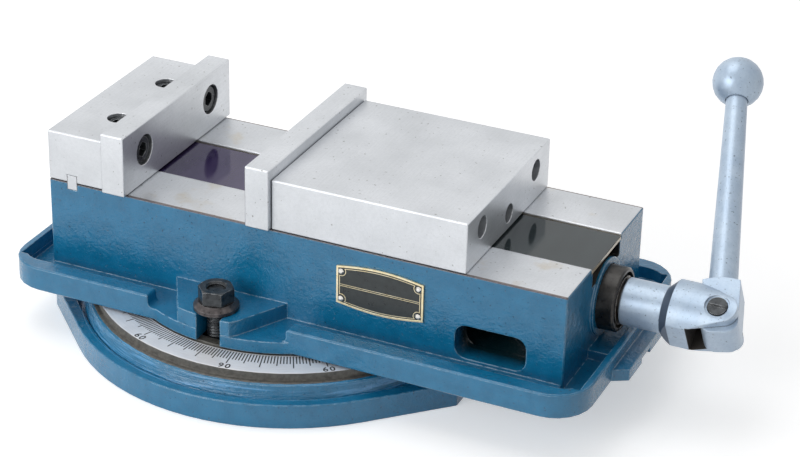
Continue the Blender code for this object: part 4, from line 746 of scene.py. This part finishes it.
def make_scale():
    """Ticks at every degree and a numeral each 30 degrees, counting up to 90 on both sides."""
    ticks = []
    for degree in range(360):
        step = 10 if degree % 10 == 0 else 5 if degree % 5 == 0 else 1
        ticks.append(scale_tick(NINETY_ANGLE + degree, TICK_ENDS[step]))
    join_pieces(ticks, "scale_ticks", "base", INK)
    digits = []
    for turn in range(0, 360, NUMERAL_STEP):
        text = str(abs(90 - turn % 180))
        shifts = (0,) if len(text) == 1 else (-NUMERAL_GAP, NUMERAL_GAP)
        for character, shift in zip(text, shifts):
            digits.append(scale_digit(character, NINETY_ANGLE + turn, shift))
    join_pieces(digits, "scale_numerals", "base", INK)


def seen_rays(tree):
    """1 for rays from the camera, off a mirror or through glass, else 0."""
    path = tree.nodes.new("ShaderNodeLightPath")
    seen = calc(tree, "MAXIMUM", path.outputs["Is Camera Ray"], path.outputs["Is Glossy Ray"])
    return calc(tree, "MAXIMUM", seen, path.outputs["Is Transmission Ray"])


def make_floor():
    deselect()
    bpy.ops.mesh.primitive_plane_add(size=12, location=(0, 0, 0))
    floor = bpy.context.object
    floor.name = "floor"
    material, tree, shader = new_material("pale_floor", (0.80, 0.80, 0.80), 0.9)
    glow = tree.nodes.new("ShaderNodeEmission")
    glow.inputs["Color"].default_value = (1, 1, 1, 1)
    seen = seen_rays(tree)
    plug(tree, calc(tree, "MULTIPLY", seen, FLOOR_GLOW), glow.inputs["Strength"])
    add = tree.nodes.new("ShaderNodeAddShader")
    tree.links.new(shader.outputs[0], add.inputs[0])
    tree.links.new(glow.outputs[0], add.inputs[1])
    tree.links.new(add.outputs[0], tree.nodes["Material Output"].inputs["Surface"])
    floor.data.materials.append(material)


def make_world():
    world = bpy.data.worlds.new("studio")
    bpy.context.scene.world = world
    world.use_nodes = True
    tree = world.node_tree
    tree.nodes.clear()
    seen = seen_rays(tree)
    background = tree.nodes.new("ShaderNodeBackground")
    background.inputs["Color"].default_value = (1, 1, 1, 1)
    coordinates = tree.nodes.new("ShaderNodeTexCoord")
    toward_x, _, _ = axes(tree, coordinates.outputs["Generated"])
    soft_side = spread(tree, toward_x, -0.3, 0.9, 0.62, 0.20)
    plug(tree, blend_value(tree, seen, soft_side, 1.0), background.inputs["Strength"])
    output = tree.nodes.new("ShaderNodeOutputWorld")
    tree.links.new(background.outputs[0], output.inputs["Surface"])


def add_light(name, spot, target, size, power):
    light = bpy.data.lights.new(name, "AREA")
    light.shape = "RECTANGLE"
    light.size, light.size_y = size
    light.energy = power
    lamp = bpy.data.objects.new(name, light)
    bpy.context.scene.collection.objects.link(lamp)
    lamp.location = spot
    lamp.rotation_euler = (Vector(target) - Vector(spot)).to_track_quat("-Z", "Y").to_euler()


def make_camera():
    data = bpy.data.cameras.new("photo_camera")
    data.sensor_width = SENSOR
    data.lens = FOCAL_PIXELS / PHOTO_WIDTH * SENSOR
    data.clip_start = 0.05
    camera = bpy.data.objects.new("photo_camera", data)
    bpy.context.scene.collection.objects.link(camera)
    turn = Matrix.Rotation(CAMERA_AZIMUTH, 4, "Z") @ Matrix.Rotation(math.pi / 2 - CAMERA_DROP, 4, "X")
    camera.matrix_world = Matrix.Translation(CAMERA_PLACE) @ turn @ Matrix.Rotation(CAMERA_ROLL, 4, "Z")
    bpy.context.scene.camera = camera


dress_nodes()
for round_node in ROUND_NODES:
    smooth_copy(round_node)
make_stud_threads()
make_scale()
make_floor()
make_world()
add_light("overhead", spot=(-0.5, 0.1, 1.9), target=(0.05, 0, 0.05), size=(1.6, 1.2), power=11)
add_light("front_left", spot=(-0.9, -1.9, 0.9), target=(0.05, 0, 0.06), size=(1.6, 1.2), power=22)
make_camera()
bpy.context.scene.view_settings.view_transform = "Standard"
